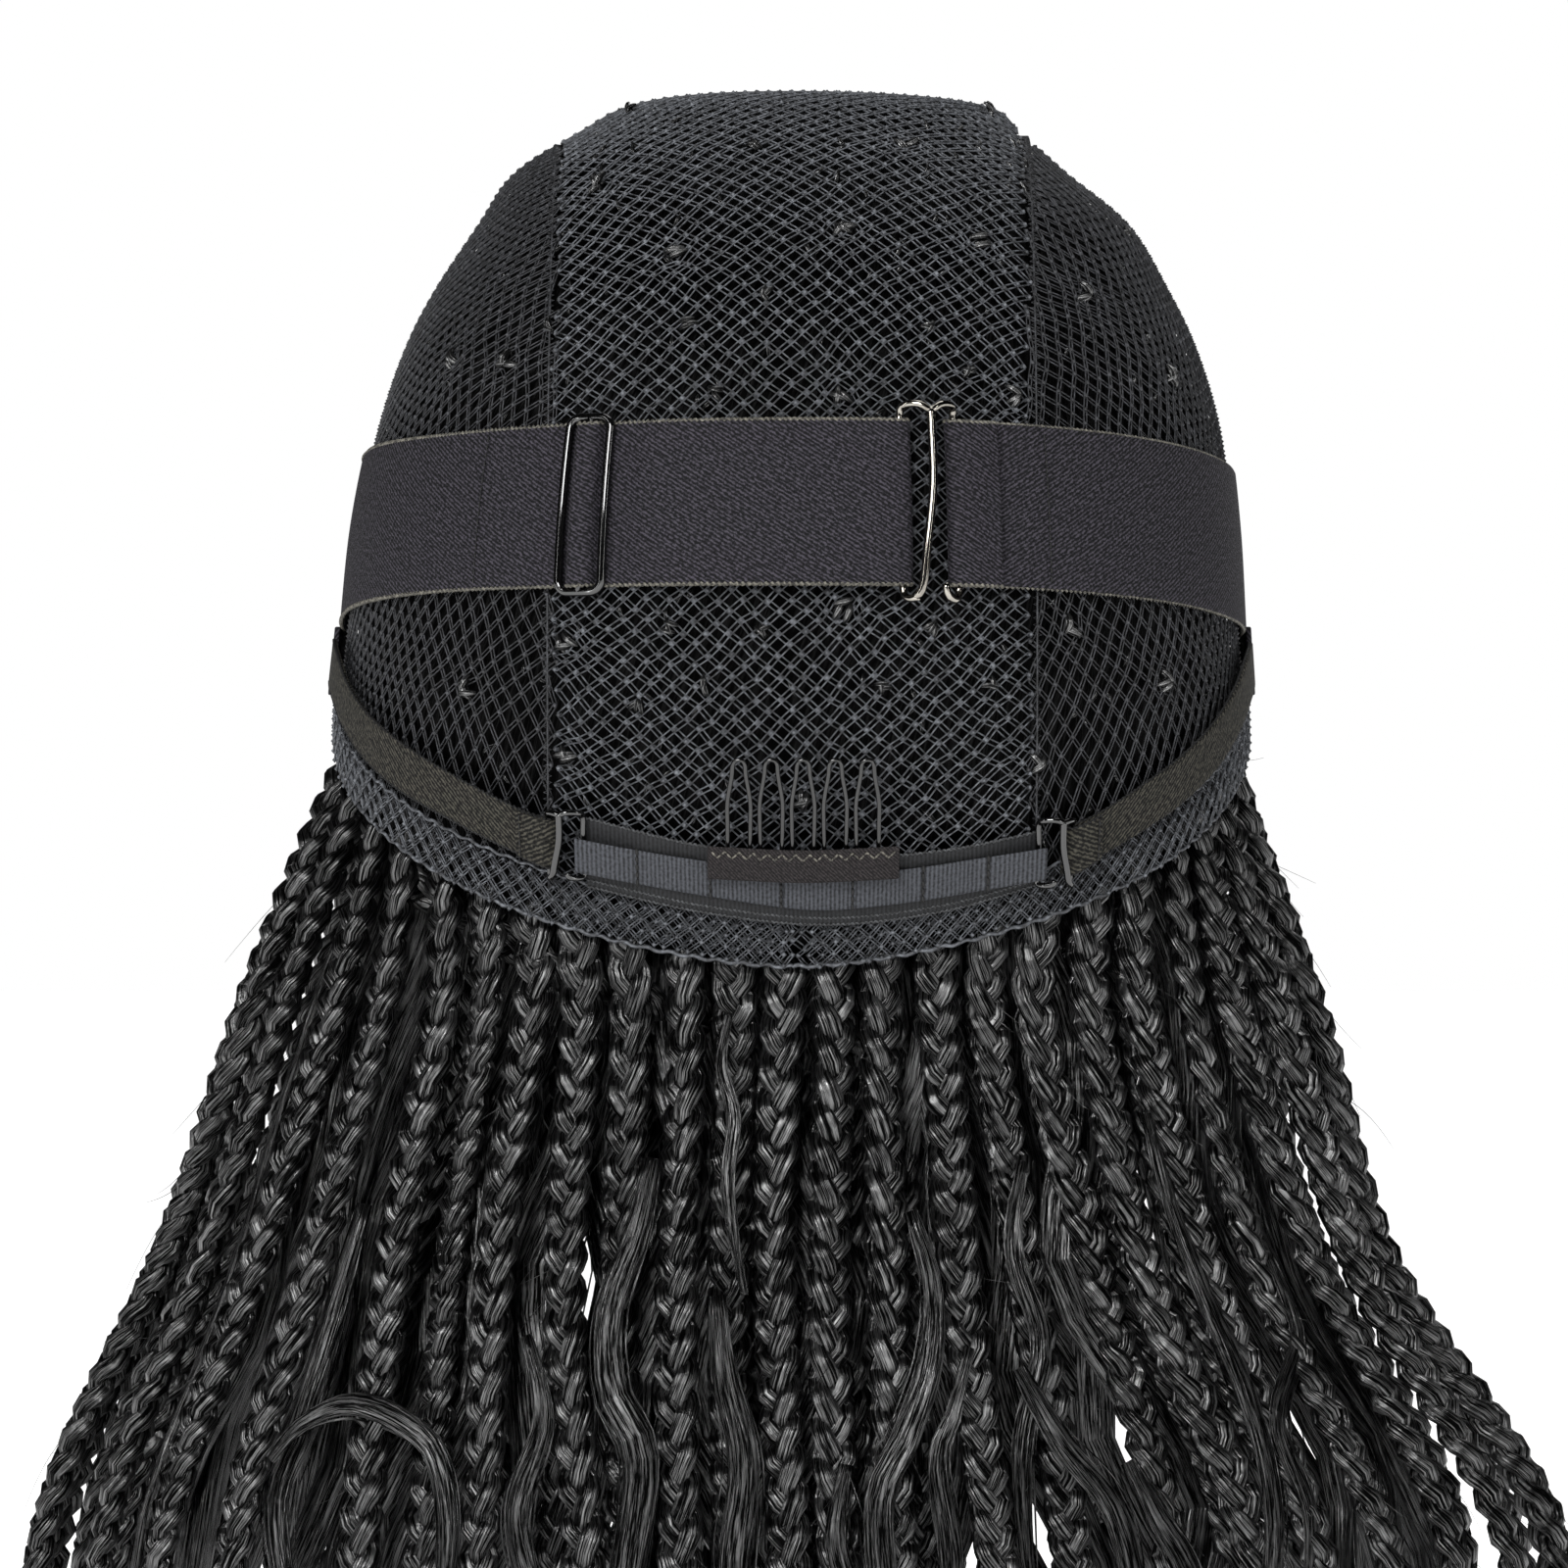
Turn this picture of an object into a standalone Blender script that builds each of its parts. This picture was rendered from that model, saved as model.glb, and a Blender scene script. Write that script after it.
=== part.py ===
"""A braid wig turned inside out: a hollow net cap with its elastic bands, hooks, ribbon and comb, over the
layer of braids that hangs out round its rim.

The wig stands with +Z up and its nape towards -Y. The origin is the inside of the crown, where the head
bears. Sizes below are in millimetres, and each piece is written in metres.
"""

import math

import bmesh
import bpy
from mathutils import Vector

METRE = 0.001
TOUCH = 0.3

# Cap. Angles run round the cap in degrees, from 0 at the nape, with +90 at +X and 180 at the forehead.
NET_THICKNESS = 1.2
CAP_DEPTH = 9.0
CAP_COLUMNS = 32
CAP_ROWS = 10
FIRST_GAP_ROW = 2
LAST_GAP_ROW = 7
GAP_REACH = 0.66
PLAN_EXPONENT = 2.2
NAPE_HEIGHT = -167.1
EAR_RISE = 47.7
FOREHEAD_RISE = 52.2
HEM_HEIGHT = 10.0
HEM_THICKNESS = 1.0

# Each row is a level of the cap: its height, and how far its outer face lies left, right, back and front.
CAP_SECTIONS = (
    # height, left, right, back, front
    (9.0, 0.0, 0.0, 0.0, 0.0),
    (8.2, 21.0, 22.0, 20.0, 21.0),
    (6.0, 34.5, 41.0, 34.0, 36.0),
    (1.0, 43.5, 47.0, 46.0, 50.0),
    (-7.7, 57.0, 56.4, 60.5, 65.0),
    (-18.3, 64.2, 69.0, 73.0, 77.0),
    (-31.7, 73.0, 77.0, 83.0, 86.5),
    (-44.1, 79.2, 82.8, 89.5, 92.0),
    (-59.9, 84.4, 87.4, 94.5, 95.0),
    (-79.5, 88.4, 89.8, 98.0, 96.0),
    (-101.0, 90.6, 91.0, 98.5, 96.0),
    (-119.5, 92.2, 92.0, 96.0, 95.5),
    (-145.0, 92.0, 92.0, 89.0, 94.0),
    (-170.0, 90.0, 90.0, 78.0, 92.0),
)

# Wide elastic: the upper and the lower edge round the back of the cap.
ELASTIC_EDGES = (
    # angle, upper, lower
    (-95.0, -67.0, -101.0),
    (-75.0, -64.5, -96.5),
    (-50.0, -63.5, -94.2),
    (-25.0, -62.5, -93.6),
    (0.0, -62.0, -93.4),
    (25.0, -62.5, -93.8),
    (50.0, -64.5, -95.8),
    (75.0, -67.5, -99.0),
    (95.0, -70.0, -101.5),
)
ELASTIC_THICKNESS = 1.0
FOLD_RADIUS = 1.45
FOLD_OFFSET = 2.15
DEGREE_HEIGHT = -78.0

# Run of each elastic seen from above: the angle, and how far its middle lies off the cap.
PLAIN_OFFSET = 1.0
PLAIN_STEPS = 13
LEFT_PLAIN_ANGLES = (-95.0, -34.0)
RIGHT_PLAIN_ANGLES = (95.0, 30.0)
LEFT_FRONT_RUN = (
    # angle, offset
    (-29.5, 0.9), (-26.3, 0.9), (-25.1, 3.75), (-23.3, 3.75), (-22.1, 0.9), (-18.8, 0.9),
    (-15.2, 2.4), (-10.0, 2.7), (-5.0, 2.9), (0.0, 3.1), (5.0, 3.3), (9.0, 3.6),
)
LEFT_FOLD_ANGLE = 11.4
LEFT_BACK_RUN = (
    # angle, offset
    (9.0, 0.8), (4.0, 0.9), (-1.0, 0.9), (-6.0, 0.9), (-10.0, 0.9), (-14.2, 0.9),
)
RIGHT_BACK_RUN = (
    # angle, offset
    (25.0, 0.9), (20.3, 0.8),
)
RIGHT_FOLD_ANGLE = 18.0
RIGHT_FRONT_RUN = (
    # angle, offset
    (20.3, 3.5), (23.5, 2.5),
)

# Slider and hooks. A hook's route is given in its own width and height, from -0.5 to 0.5.
SLIDER_ANGLE = -24.2
SLIDER_WIDTH = 10.6
SLIDER_HEIGHT = 35.4
SLIDER_WIRE = 1.5
SLIDER_OFFSET = 2.3
SLIDER_CORNER = 2.2
SLIDER_STEPS = 5
WIRE_SIDES = 5
HOOK_FRAME = (
    # across, up, lift
    (0.16, -0.43, 1.0), (0.22, -0.50, 1.0), (0.38, -0.515, 0.5), (0.46, -0.46, 0.0), (0.46, -0.20, 0.0),
    (0.46, 0.05, 0.0), (0.46, 0.25, 0.0), (0.46, 0.46, 0.0), (0.40, 0.515, 0.5), (0.18, 0.52, 1.0),
    (0.0, 0.49, 1.1), (-0.18, 0.52, 1.0), (-0.40, 0.515, 0.5), (-0.46, 0.46, 0.0), (-0.46, 0.25, 0.0),
    (-0.46, 0.05, 0.0), (-0.46, -0.20, 0.0), (-0.46, -0.46, 0.0), (-0.40, -0.51, 0.5),
    (-0.26, -0.50, 1.0),
)
HOOK_STEM = (
    # across, up, lift
    (-0.31, -0.503, 0.95), (-0.20, -0.44, 1.1), (-0.12, -0.22, 1.1), (-0.03, 0.02, 1.1),
    (0.0, 0.20, 1.1), (0.0, 0.50, 1.1),
)
BAND_HOOK_WIRE = 1.2
BAND_HOOK_HEIGHT = 36.2
BAND_HOOK_LIFT = 3.0
NAPE_HOOK_WIDTH = 7.6
NAPE_HOOK_HEIGHT = 12.2
NAPE_HOOK_WIRE = 1.0
NAPE_HOOK_LIFT = 2.7

# Nape straps, ribbon and tape: upper and lower edges, and how far the inner face lies off the cap.
LEFT_STRAP_EDGES = (
    # angle from the nape, upper, lower
    (27.4, -138.6, -147.8),
    (32.0, -136.5, -145.2),
    (43.6, -129.2, -138.1),
    (53.0, -123.3, -132.7),
    (62.4, -117.0, -126.3),
    (70.0, -111.0, -120.2),
    (77.0, -105.6, -114.6),
    (85.0, -102.4, -110.8),
)
RIGHT_STRAP_EDGES = (
    # angle from the nape, upper, lower
    (32.4, -140.2, -149.2),
    (37.0, -137.6, -146.0),
    (45.8, -131.2, -140.0),
    (52.0, -126.8, -135.8),
    (60.4, -120.3, -129.4),
    (69.0, -112.8, -122.0),
    (77.0, -106.2, -115.2),
    (85.0, -103.0, -111.4),
)
STRAP_THICKNESS = 1.0
STRAP_OFFSET = 2.1
STRAP_FOLD_OFFSET = 3.5
STRAP_FOLD_RADIUS = 1.4
STRAP_FOLD_START = 0.9
STRAP_TAIL = 4.4
STRAP_TAIL_DROP = 1.2
STRAP_STEPS = 12
RIBBON_EDGES = (
    # x, upper, lower
    (-39.0, -138.2, -151.4),
    (-17.0, -143.6, -156.4),
    (6.0, -146.0, -158.8),
    (28.0, -144.6, -156.4),
    (46.4, -141.0, -151.2),
)
RIBBON_OFFSET = 1.6
RIBBON_THICKNESS = 0.8
TAPE_EDGES = (
    # x, upper, lower
    (-40.0, -142.1, -148.7),
    (-28.5, -144.5, -151.1),
    (-13.0, -147.0, -153.8),
    (4.0, -149.2, -156.0),
    (20.0, -148.2, -154.8),
    (35.0, -146.0, -152.4),
    (46.8, -144.0, -150.2),
)
TAPE_OFFSET = 2.7
TAPE_THICKNESS = 0.8
TAPE_PUFF = 0.4
TAPE_END_PUFF = 2.2
TAPE_LOOPS = 7
TAPE_STEPS = 4
COMB_TEETH = 5
COMB_PITCH = 5.95
COMB_MIDDLE = 2.0
COMB_WIRE = 0.9
COMB_FOOT = -147.0
COMB_TIP = -127.2
COMB_BEND = 8.0
COMB_LEG_SPREAD = 2.1
COMB_TIP_SPREAD = 1.1
COMB_OFFSET = 4.7
COVER_FIRST_X = -15.6
COVER_LAST_X = 19.6
COVER_UPPER = -143.6
COVER_LOWER = -149.9
COVER_OFFSET = 5.5
COVER_THICKNESS = 1.0
TAB_FIRST_ANGLE = 89.6
TAB_LAST_ANGLE = 98.6
TAB_UPPER = -102.4
TAB_LOWER = -113.6
TAB_LIFT = 1.8
TAB_OFFSET = 1.6
TAB_THICKNESS = 1.2

# Braids. The skirt is the surface that the middles of the hanging braids follow.
ROOTS_GAP = 0.5
ROOTS_GROOVE = 2.4
SECTOR_SHIFT = 0.22  # leaves 0.3 between the four sectors
BRAID_RADIUS = 4.4
BRAID_SIDES = 5
BRAID_RINGS = 6
INNER_RADIUS = 4.0  # of the braids that hang inside the others
INNER_ROOT_RADIUS = 2.4
INNER_RINGS = 4
INNER_DROP = 9.0
INNER_SHOULDER = 15.0
INNER_TUCK = 10.4
INNER_CHANGE = 4.0
FRONT_FIRST_INNER = 3
FIRST_INNER = 3
LAST_INNER = 18
WITHOUT_INNER = (4, 16)
BRAID_TIP_RADIUS = 2.0
BRAID_TAPER = 40.0
BRAID_GAP = 0.65
SKIRT_SECTIONS = (
    # height, left, right, back, front
    (-60.0, 80.0, 80.0, 90.0, 89.0),
    (-120.0, 87.5, 87.5, 90.0, 94.0),
    (-170.0, 109.0, 104.5, 76.0, 100.0),
    (-228.0, 128.5, 120.5, 87.0, 103.0),
    (-286.0, 152.5, 156.0, 95.0, 106.0),
    (-370.0, 156.0, 160.0, 99.0, 107.0),
)
BACK_BRAIDS = (
    # root angle, x at -170, x at -228, x at -286, tuck inwards, tip height
    (-84.5, -109.0, -128.5, -152.5, 0.0, -352.0),
    (-76.0, -101.5, -117.0, -137.0, 0.0, -358.0),
    (-67.5, -91.0, -106.0, -125.0, 0.0, -349.0),
    (-59.0, -81.5, -94.0, -110.0, 0.0, -361.0),
    (-50.5, -69.0, -77.5, -85.0, 0.0, -354.0),
    (-42.0, -59.5, -67.0, -72.0, 7.0, -346.0),
    (-34.0, -50.5, -57.5, -61.0, 0.0, -360.0),
    (-26.6, -41.5, -43.5, -40.0, 0.0, -364.0),
    (-19.6, -31.6, -33.5, -31.0, 9.0, -350.0),
    (-12.4, -21.0, -22.0, -21.5, 0.0, -357.0),
    (-6.3, -11.4, -12.0, -11.0, 9.0, -345.0),
    (-0.9, -1.8, -3.0, -1.0, 0.0, -362.0),
    (4.2, 7.8, 7.5, 9.0, 0.0, -356.0),
    (10.0, 17.5, 18.0, 20.0, 0.0, -365.0),
    (17.1, 28.0, 32.5, 40.0, 0.0, -353.0),
    (24.4, 38.0, 45.0, 55.0, 9.0, -347.0),
    (32.2, 48.0, 59.0, 74.0, 9.0, -359.0),
    (41.0, 58.5, 68.5, 91.5, 0.0, -363.0),
    (49.2, 68.5, 81.0, 104.0, 0.0, -355.0),
    (57.5, 78.5, 92.5, 117.0, 0.0, -361.0),
    (66.0, 88.0, 104.0, 131.0, 0.0, -350.0),
    (74.5, 97.0, 113.0, 144.0, 0.0, -358.0),
    (83.0, 104.5, 120.5, 156.0, 0.0, -352.0),
)
FRONT_BRAIDS = 17
FRONT_FIRST_ANGLE = 96.5
FRONT_LAST_ANGLE = 263.5
FRONT_TIP_HEIGHT = -355.0
FRONT_TIP_CHANGE = 8.0

COLOURS = {
    "net": (0.022, 0.022, 0.026, 1.0),
    "elastic": (0.018, 0.017, 0.020, 1.0),
    "strap": (0.032, 0.031, 0.025, 1.0),
    "ribbon": (0.035, 0.038, 0.045, 1.0),
    "cover": (0.025, 0.022, 0.023, 1.0),
    "enamel": (0.004, 0.004, 0.004, 1.0),
    "gunmetal": (0.160, 0.155, 0.150, 1.0),
    "hair": (0.010, 0.010, 0.010, 1.0),
}


def clear_scene():
    for thing in list(bpy.data.objects):
        bpy.data.objects.remove(thing, do_unlink=True)


def material(name, roughness, metallic=0.0):
    made = bpy.data.materials.new(name)
    made.use_nodes = True
    shader = made.node_tree.nodes["Principled BSDF"]
    shader.inputs["Base Color"].default_value = COLOURS[name]
    shader.inputs["Roughness"].default_value = roughness
    shader.inputs["Metallic"].default_value = metallic
    made.diffuse_color = COLOURS[name]
    return made


def smooth_row(rows, place):
    """A row between the given ones, on a smooth curve through them; place counts rows from 0."""
    last = len(rows) - 1
    place = min(max(place, 0.0), float(last))
    start = min(int(place), last - 1)
    part = place - start
    before = rows[max(start - 1, 0)]
    here = rows[start]
    there = rows[start + 1]
    after = rows[min(start + 2, last)]
    result = []
    for a, b, c, d in zip(before, here, there, after):
        rise = (c - a) * 0.5
        fall = (d - b) * 0.5
        bend = 2.0 * (b - c) + rise + fall
        turn = 3.0 * (c - b) - 2.0 * rise - fall
        result.append(b + part * (rise + part * (turn + part * bend)))
    return result


def place_at(rows, value, column=0):
    """The place in the rows where the first column, rising or falling all the way, has this value."""
    low = 0.0
    high = float(len(rows) - 1)
    falling = rows[0][column] > rows[-1][column]
    for _ in range(40):
        middle = 0.5 * (low + high)
        found = smooth_row(rows, middle)[column]
        if (found > value) == falling:
            low = middle
        else:
            high = middle
    return 0.5 * (low + high)


def edges_at(rows, angle):
    """Upper and lower edge of a strip at this angle."""
    row = smooth_row(rows, place_at(rows, angle))
    return row[1], row[2]


def signed_power(value, power):
    return math.copysign(abs(value) ** power, value)


def ring_point(row, angle):
    """The point at this angle on a level of the cap or the skirt."""
    height, left, right, back, front = row
    turn = math.radians(angle)
    across = signed_power(math.sin(turn), 2.0 / PLAN_EXPONENT)
    along = -signed_power(math.cos(turn), 2.0 / PLAN_EXPONENT)
    x = across * (right if across > 0.0 else left)
    y = along * (front if along > 0.0 else back)
    return Vector((x, y, height))


def cap_face(angle, place):
    return ring_point(smooth_row(CAP_SECTIONS, place), angle)


def cap_point(angle, place, offset):
    """A point of the cap's outer face, moved outwards by the offset."""
    if place < 0.02:
        return Vector((0.0, 0.0, CAP_SECTIONS[0][0] + offset))
    along = cap_face(angle + 0.5, place) - cap_face(angle - 0.5, place)
    down = cap_face(angle, place + 0.02) - cap_face(angle, place - 0.02)
    normal = down.cross(along).normalized()
    return cap_face(angle, place) + normal * offset


def cap_at(angle, height, offset):
    """A point off the cap's side at a given height, moved out level."""
    place = place_at(CAP_SECTIONS, height)
    along = cap_face(angle + 0.5, place) - cap_face(angle - 0.5, place)
    normal = Vector((along.y, -along.x, 0.0)).normalized()
    return cap_face(angle, place) + normal * offset


def rim_height(angle):
    """Height of the cap's lower edge: low at the nape, higher at the ears and at the forehead."""
    turn = abs((angle + 180.0) % 360.0 - 180.0)
    if turn <= 90.0:
        return NAPE_HEIGHT + EAR_RISE * (turn / 90.0) ** 1.5
    share = min((turn - 90.0) / 75.0, 1.0)
    return NAPE_HEIGHT + EAR_RISE + FOREHEAD_RISE * share * share * (3.0 - 2.0 * share)


def rim_place(angle):
    return place_at(CAP_SECTIONS, rim_height(angle))


def rim_edge(angle, offset):
    """Height of the faceted lower edge, which runs straight between the cap's columns."""
    step = 360.0 / CAP_COLUMNS
    before = math.floor(angle / step) * step
    heights = [cap_point(turn, rim_place(turn), offset).z for turn in (before, before + step)]
    return heights[0] + (heights[1] - heights[0]) * (angle - before) / step


def angle_of_x(x, height):
    """The angle at which the back of the cap reaches this x, at this height."""
    row = smooth_row(CAP_SECTIONS, place_at(CAP_SECTIONS, height))
    reach = abs(x) / (row[2] if x > 0.0 else row[1])
    return math.degrees(math.copysign(math.asin(min(reach, 1.0) ** (PLAN_EXPONENT / 2.0)), x))


def angle_of_point(point):
    """The angle of a point that stands beside the cap."""
    _, left, right, back, front = smooth_row(CAP_SECTIONS, place_at(CAP_SECTIONS, point.z))
    across = signed_power(point.x / (right if point.x > 0.0 else left), PLAN_EXPONENT / 2.0)
    along = signed_power(point.y / (front if point.y > 0.0 else back), PLAN_EXPONENT / 2.0)
    return math.degrees(math.atan2(across, -along))


def degree_length(angle, height):
    """How many millimetres of the cap one degree takes here."""
    return (cap_at(angle + 0.5, height, 0.0) - cap_at(angle - 0.5, height, 0.0)).length


def beside(angle, height, across, up, lift):
    """A point off the cap, measured along it from a place on it."""
    return cap_at(angle + across / degree_length(angle, height), height + up, lift)


def finish(name, bm, look, smooth=35.0):
    """Make the object of a bmesh in millimetres."""
    bmesh.ops.recalc_face_normals(bm, faces=bm.faces[:])
    bmesh.ops.scale(bm, vec=(METRE, METRE, METRE), verts=bm.verts[:])
    mesh = bpy.data.meshes.new(name)
    bm.to_mesh(mesh)
    bm.free()
    mesh.materials.append(look)
    mesh.shade_smooth()
    mesh.set_sharp_from_angle(angle=math.radians(smooth))
    thing = bpy.data.objects.new(name, mesh)
    bpy.context.collection.objects.link(thing)
    return thing


def add_layer(bm, points, gaps, inward):
    """One face of a dome-shaped shell, with diamond gaps; returns its rim and the gaps' outlines."""
    pole = bm.verts.new(points[0][0])
    rows = [[bm.verts.new(p) for p in row] for row in points[1:]]
    columns = len(rows[0])
    outlines = []

    def face(*corners):
        bm.faces.new(corners[::-1] if inward else corners)

    for i in range(columns):
        face(pole, rows[0][i], rows[0][(i + 1) % columns])
    for j in range(len(rows) - 1):
        for i in range(columns):
            n = (i + 1) % columns
            ring = [rows[j][i], rows[j + 1][i], rows[j + 1][n], rows[j][n]]
            if (i, j) not in gaps:
                face(*ring)
                continue
            centre = sum((v.co for v in ring), Vector()) / 4.0
            tips = []
            for k in range(4):
                edge = (ring[k].co + ring[(k + 1) % 4].co) * 0.5
                tips.append(bm.verts.new(centre.lerp(edge, GAP_REACH)))
            for k in range(4):
                face(ring[k], ring[(k + 1) % 4], tips[k])
                face(ring[(k + 1) % 4], tips[(k + 1) % 4], tips[k])
            outlines.append(tips)
    return rows[-1], outlines


def dome_shell(name, outer, inner, look, gaps=frozenset()):
    """A hollow dome open below, from two grids of points with one point at the crown."""
    bm = bmesh.new()
    outer_rim, outer_gaps = add_layer(bm, outer, gaps, False)
    inner_rim, inner_gaps = add_layer(bm, inner, gaps, True)
    for one, two in [(outer_rim, inner_rim)] + list(zip(outer_gaps, inner_gaps)):
        for k in range(len(one)):
            n = (k + 1) % len(one)
            bm.faces.new((one[k], two[k], two[n], one[n]))
    return finish(name, bm, look)


def cap_grid(offset_of):
    """Points over the cap, from the crown to the rim, at offsets given by column."""
    grid = [[cap_point(0.0, 0.0, offset_of(0))]]
    for j in range(1, CAP_ROWS + 1):
        row = []
        for i in range(CAP_COLUMNS):
            angle = 360.0 * i / CAP_COLUMNS
            row.append(cap_point(angle, rim_place(angle) * j / CAP_ROWS, offset_of(i)))
        grid.append(row)
    return grid


def add_sections(bm, sections, closed=False):
    """Add a solid through equal outlines, one after the other, with flat ends unless it is closed."""
    rings = [[bm.verts.new(p) for p in outline] for outline in sections]
    sides = len(rings[0])
    steps = len(rings) if closed else len(rings) - 1
    for j in range(steps):
        here = rings[j]
        there = rings[(j + 1) % len(rings)]
        for k in range(sides):
            n = (k + 1) % sides
            bm.faces.new((here[k], here[n], there[n], there[k]))
    if not closed:
        bm.faces.new(rings[0][::-1])
        bm.faces.new(rings[-1])


def sections_solid(name, sections, look, closed=False, smooth=35.0):
    bm = bmesh.new()
    add_sections(bm, sections, closed)
    return finish(name, bm, look, smooth)


def strip_outline(angle, upper, lower, inner, outer):
    return [
        cap_at(angle, upper, inner),
        cap_at(angle, upper, outer),
        cap_at(angle, lower, outer),
        cap_at(angle, lower, inner),
    ]


def cloth_strip(name, edges, offset, thickness, look, steps, lift_of=None):
    """A strip sewn across the nape between two edges that are given by x."""
    first = edges[0][0]
    last = edges[-1][0]
    sections = []
    for j in range(steps + 1):
        x = first + (last - first) * j / steps
        upper, lower = edges_at(edges, x)
        angle = angle_of_x(x, 0.5 * (upper + lower))
        inner = offset + (lift_of(j) if lift_of else 0.0)
        sections.append(strip_outline(angle, upper, lower, inner, inner + thickness))
    return sections_solid(name, sections, look)


def fold(angle, height, offset, radius, onwards, outwards):
    """Half a turn of a band round a bar at this angle, as rows of angle and offset."""
    rows = []
    degree = degree_length(angle, height)
    for k in range(7):
        turn = math.pi * k / 6.0
        swing = math.sin(turn) * radius / degree
        lift = math.cos(turn) * radius * outwards
        rows.append((angle + swing * onwards, offset + lift))
    return rows


def folded_band(name, run, edges, thickness, look, levels, side=1.0):
    """A band of even thickness along a run, standing between its two edges."""
    lines = []
    for level in range(levels + 1):
        line = []
        for angle, offset in run:
            upper, lower = edges_at(edges, angle)
            height = upper + (lower - upper) * level / levels
            line.append(cap_at(angle * side, height, offset))
        lines.append(line)
    sections = []
    for k in range(len(run)):
        ahead = []
        behind = []
        for line in lines:
            way = line[min(k + 1, len(line) - 1)] - line[max(k - 1, 0)]
            half = Vector((way.y, -way.x, 0.0)).normalized() * thickness * 0.5
            ahead.append(line[k] + half)
            behind.append(line[k] - half)
        sections.append(ahead + behind[::-1])
    return sections_solid(name, sections, look)


def wire_rings(points, radii, sides, closed=False):
    """Rings of a round wire along its points, without twist."""
    count = len(points)
    rings = []
    side = None
    for k in range(count):
        after = points[(k + 1) % count] if closed else points[min(k + 1, count - 1)]
        before = points[k - 1] if closed else points[max(k - 1, 0)]
        way = (after - before).normalized()
        if side is None:
            side = way.cross(Vector((0.0, 1.0, 0.13))).normalized()
        side = (side - way * side.dot(way)).normalized()
        other = way.cross(side)
        ring = []
        for n in range(sides):
            turn = 2.0 * math.pi * n / sides
            ring.append(points[k] + (side * math.cos(turn) + other * math.sin(turn)) * radii[k])
        rings.append(ring)
    return rings


def wire(name, points, thickness, look, closed=False):
    radii = [thickness * 0.5] * len(points)
    return sections_solid(name, wire_rings(points, radii, WIRE_SIDES, closed), look, closed, 50.0)


def fuse(base, other):
    """Join a second solid to the first."""
    union = base.modifiers.new("joined", "BOOLEAN")
    union.operation = "UNION"
    union.solver = "EXACT"
    union.object = other
    other.hide_render = True
    other.display_type = "WIRE"


def build_cap(looks):
    gaps = set()
    for j in range(FIRST_GAP_ROW, LAST_GAP_ROW + 1):
        for i in range(CAP_COLUMNS):
            if (i + j) % 2 == 0:
                gaps.add((i, j))
    outer = cap_grid(lambda i: 0.0)
    inner = cap_grid(lambda i: -NET_THICKNESS)
    dome_shell("cap_net", outer, inner, looks["net"], gaps)

    sections = []
    for i in range(CAP_COLUMNS * 2):
        angle = 180.0 * i / CAP_COLUMNS
        rim = rim_height(angle)
        sections.append([
            cap_at(angle, rim + HEM_HEIGHT, TOUCH),
            cap_at(angle, rim + HEM_HEIGHT, TOUCH + HEM_THICKNESS),
            cap_at(angle, rim, TOUCH + HEM_THICKNESS),
            cap_at(angle, rim, TOUCH),
        ])
    sections_solid("rim_hem", sections, looks["net"], closed=True)


def dome_sector(name, outer, inner, columns, middle, look):
    """One upright sector of a hollow dome, drawn a little outwards from its neighbours."""
    apart = Vector((math.sin(math.radians(middle)), -math.cos(math.radians(middle)), 0.0)) * SECTOR_SHIFT
    bm = bmesh.new()
    layers = []
    for grid in (outer, inner):
        pole = bm.verts.new(grid[0][0] + apart)
        layers.append([pole] + [[bm.verts.new(row[i] + apart) for i in columns] for row in grid[1:]])
    for layer, inward in zip(layers, (False, True)):
        rows = layer[1:]
        for i in range(len(columns) - 1):
            corners = [(layer[0], rows[0][i], rows[0][i + 1])]
            for j in range(len(rows) - 1):
                corners.append((rows[j][i], rows[j + 1][i], rows[j + 1][i + 1], rows[j][i + 1]))
            for ring in corners:
                bm.faces.new(ring[::-1] if inward else ring)
    one, two = layers
    for i in range(len(columns) - 1):
        bm.faces.new((one[-1][i], two[-1][i], two[-1][i + 1], one[-1][i + 1]))
    for end in (0, -1):
        bm.faces.new((one[0], one[1][end], two[1][end], two[0]))
        for j in range(1, len(one) - 1):
            bm.faces.new((one[j][end], one[j + 1][end], two[j + 1][end], two[j][end]))
    return finish(name, bm, look)


def build_roots(looks):
    ridge = -NET_THICKNESS - ROOTS_GAP

    def outer_offset(column):
        return ridge - (ROOTS_GROOVE if column % 2 else 0.0)

    outer = cap_grid(outer_offset)
    outer[0] = [cap_point(0.0, 0.0, ridge)]
    inner = cap_grid(lambda i: -CAP_DEPTH)
    quarter = CAP_COLUMNS // 4
    for k, word in enumerate(("nape", "right", "forehead", "left")):
        first = quarter * k - quarter // 2
        columns = [(first + i) % CAP_COLUMNS for i in range(quarter + 1)]
        dome_sector("braid_roots_" + word, outer, inner, columns, 90.0 * k, looks["hair"])


def plain_run(angles):
    """The part of an elastic that lies close to the cap, from the ear on."""
    first, last = angles
    return [(first + (last - first) * k / PLAIN_STEPS, PLAIN_OFFSET) for k in range(PLAIN_STEPS + 1)]


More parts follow.
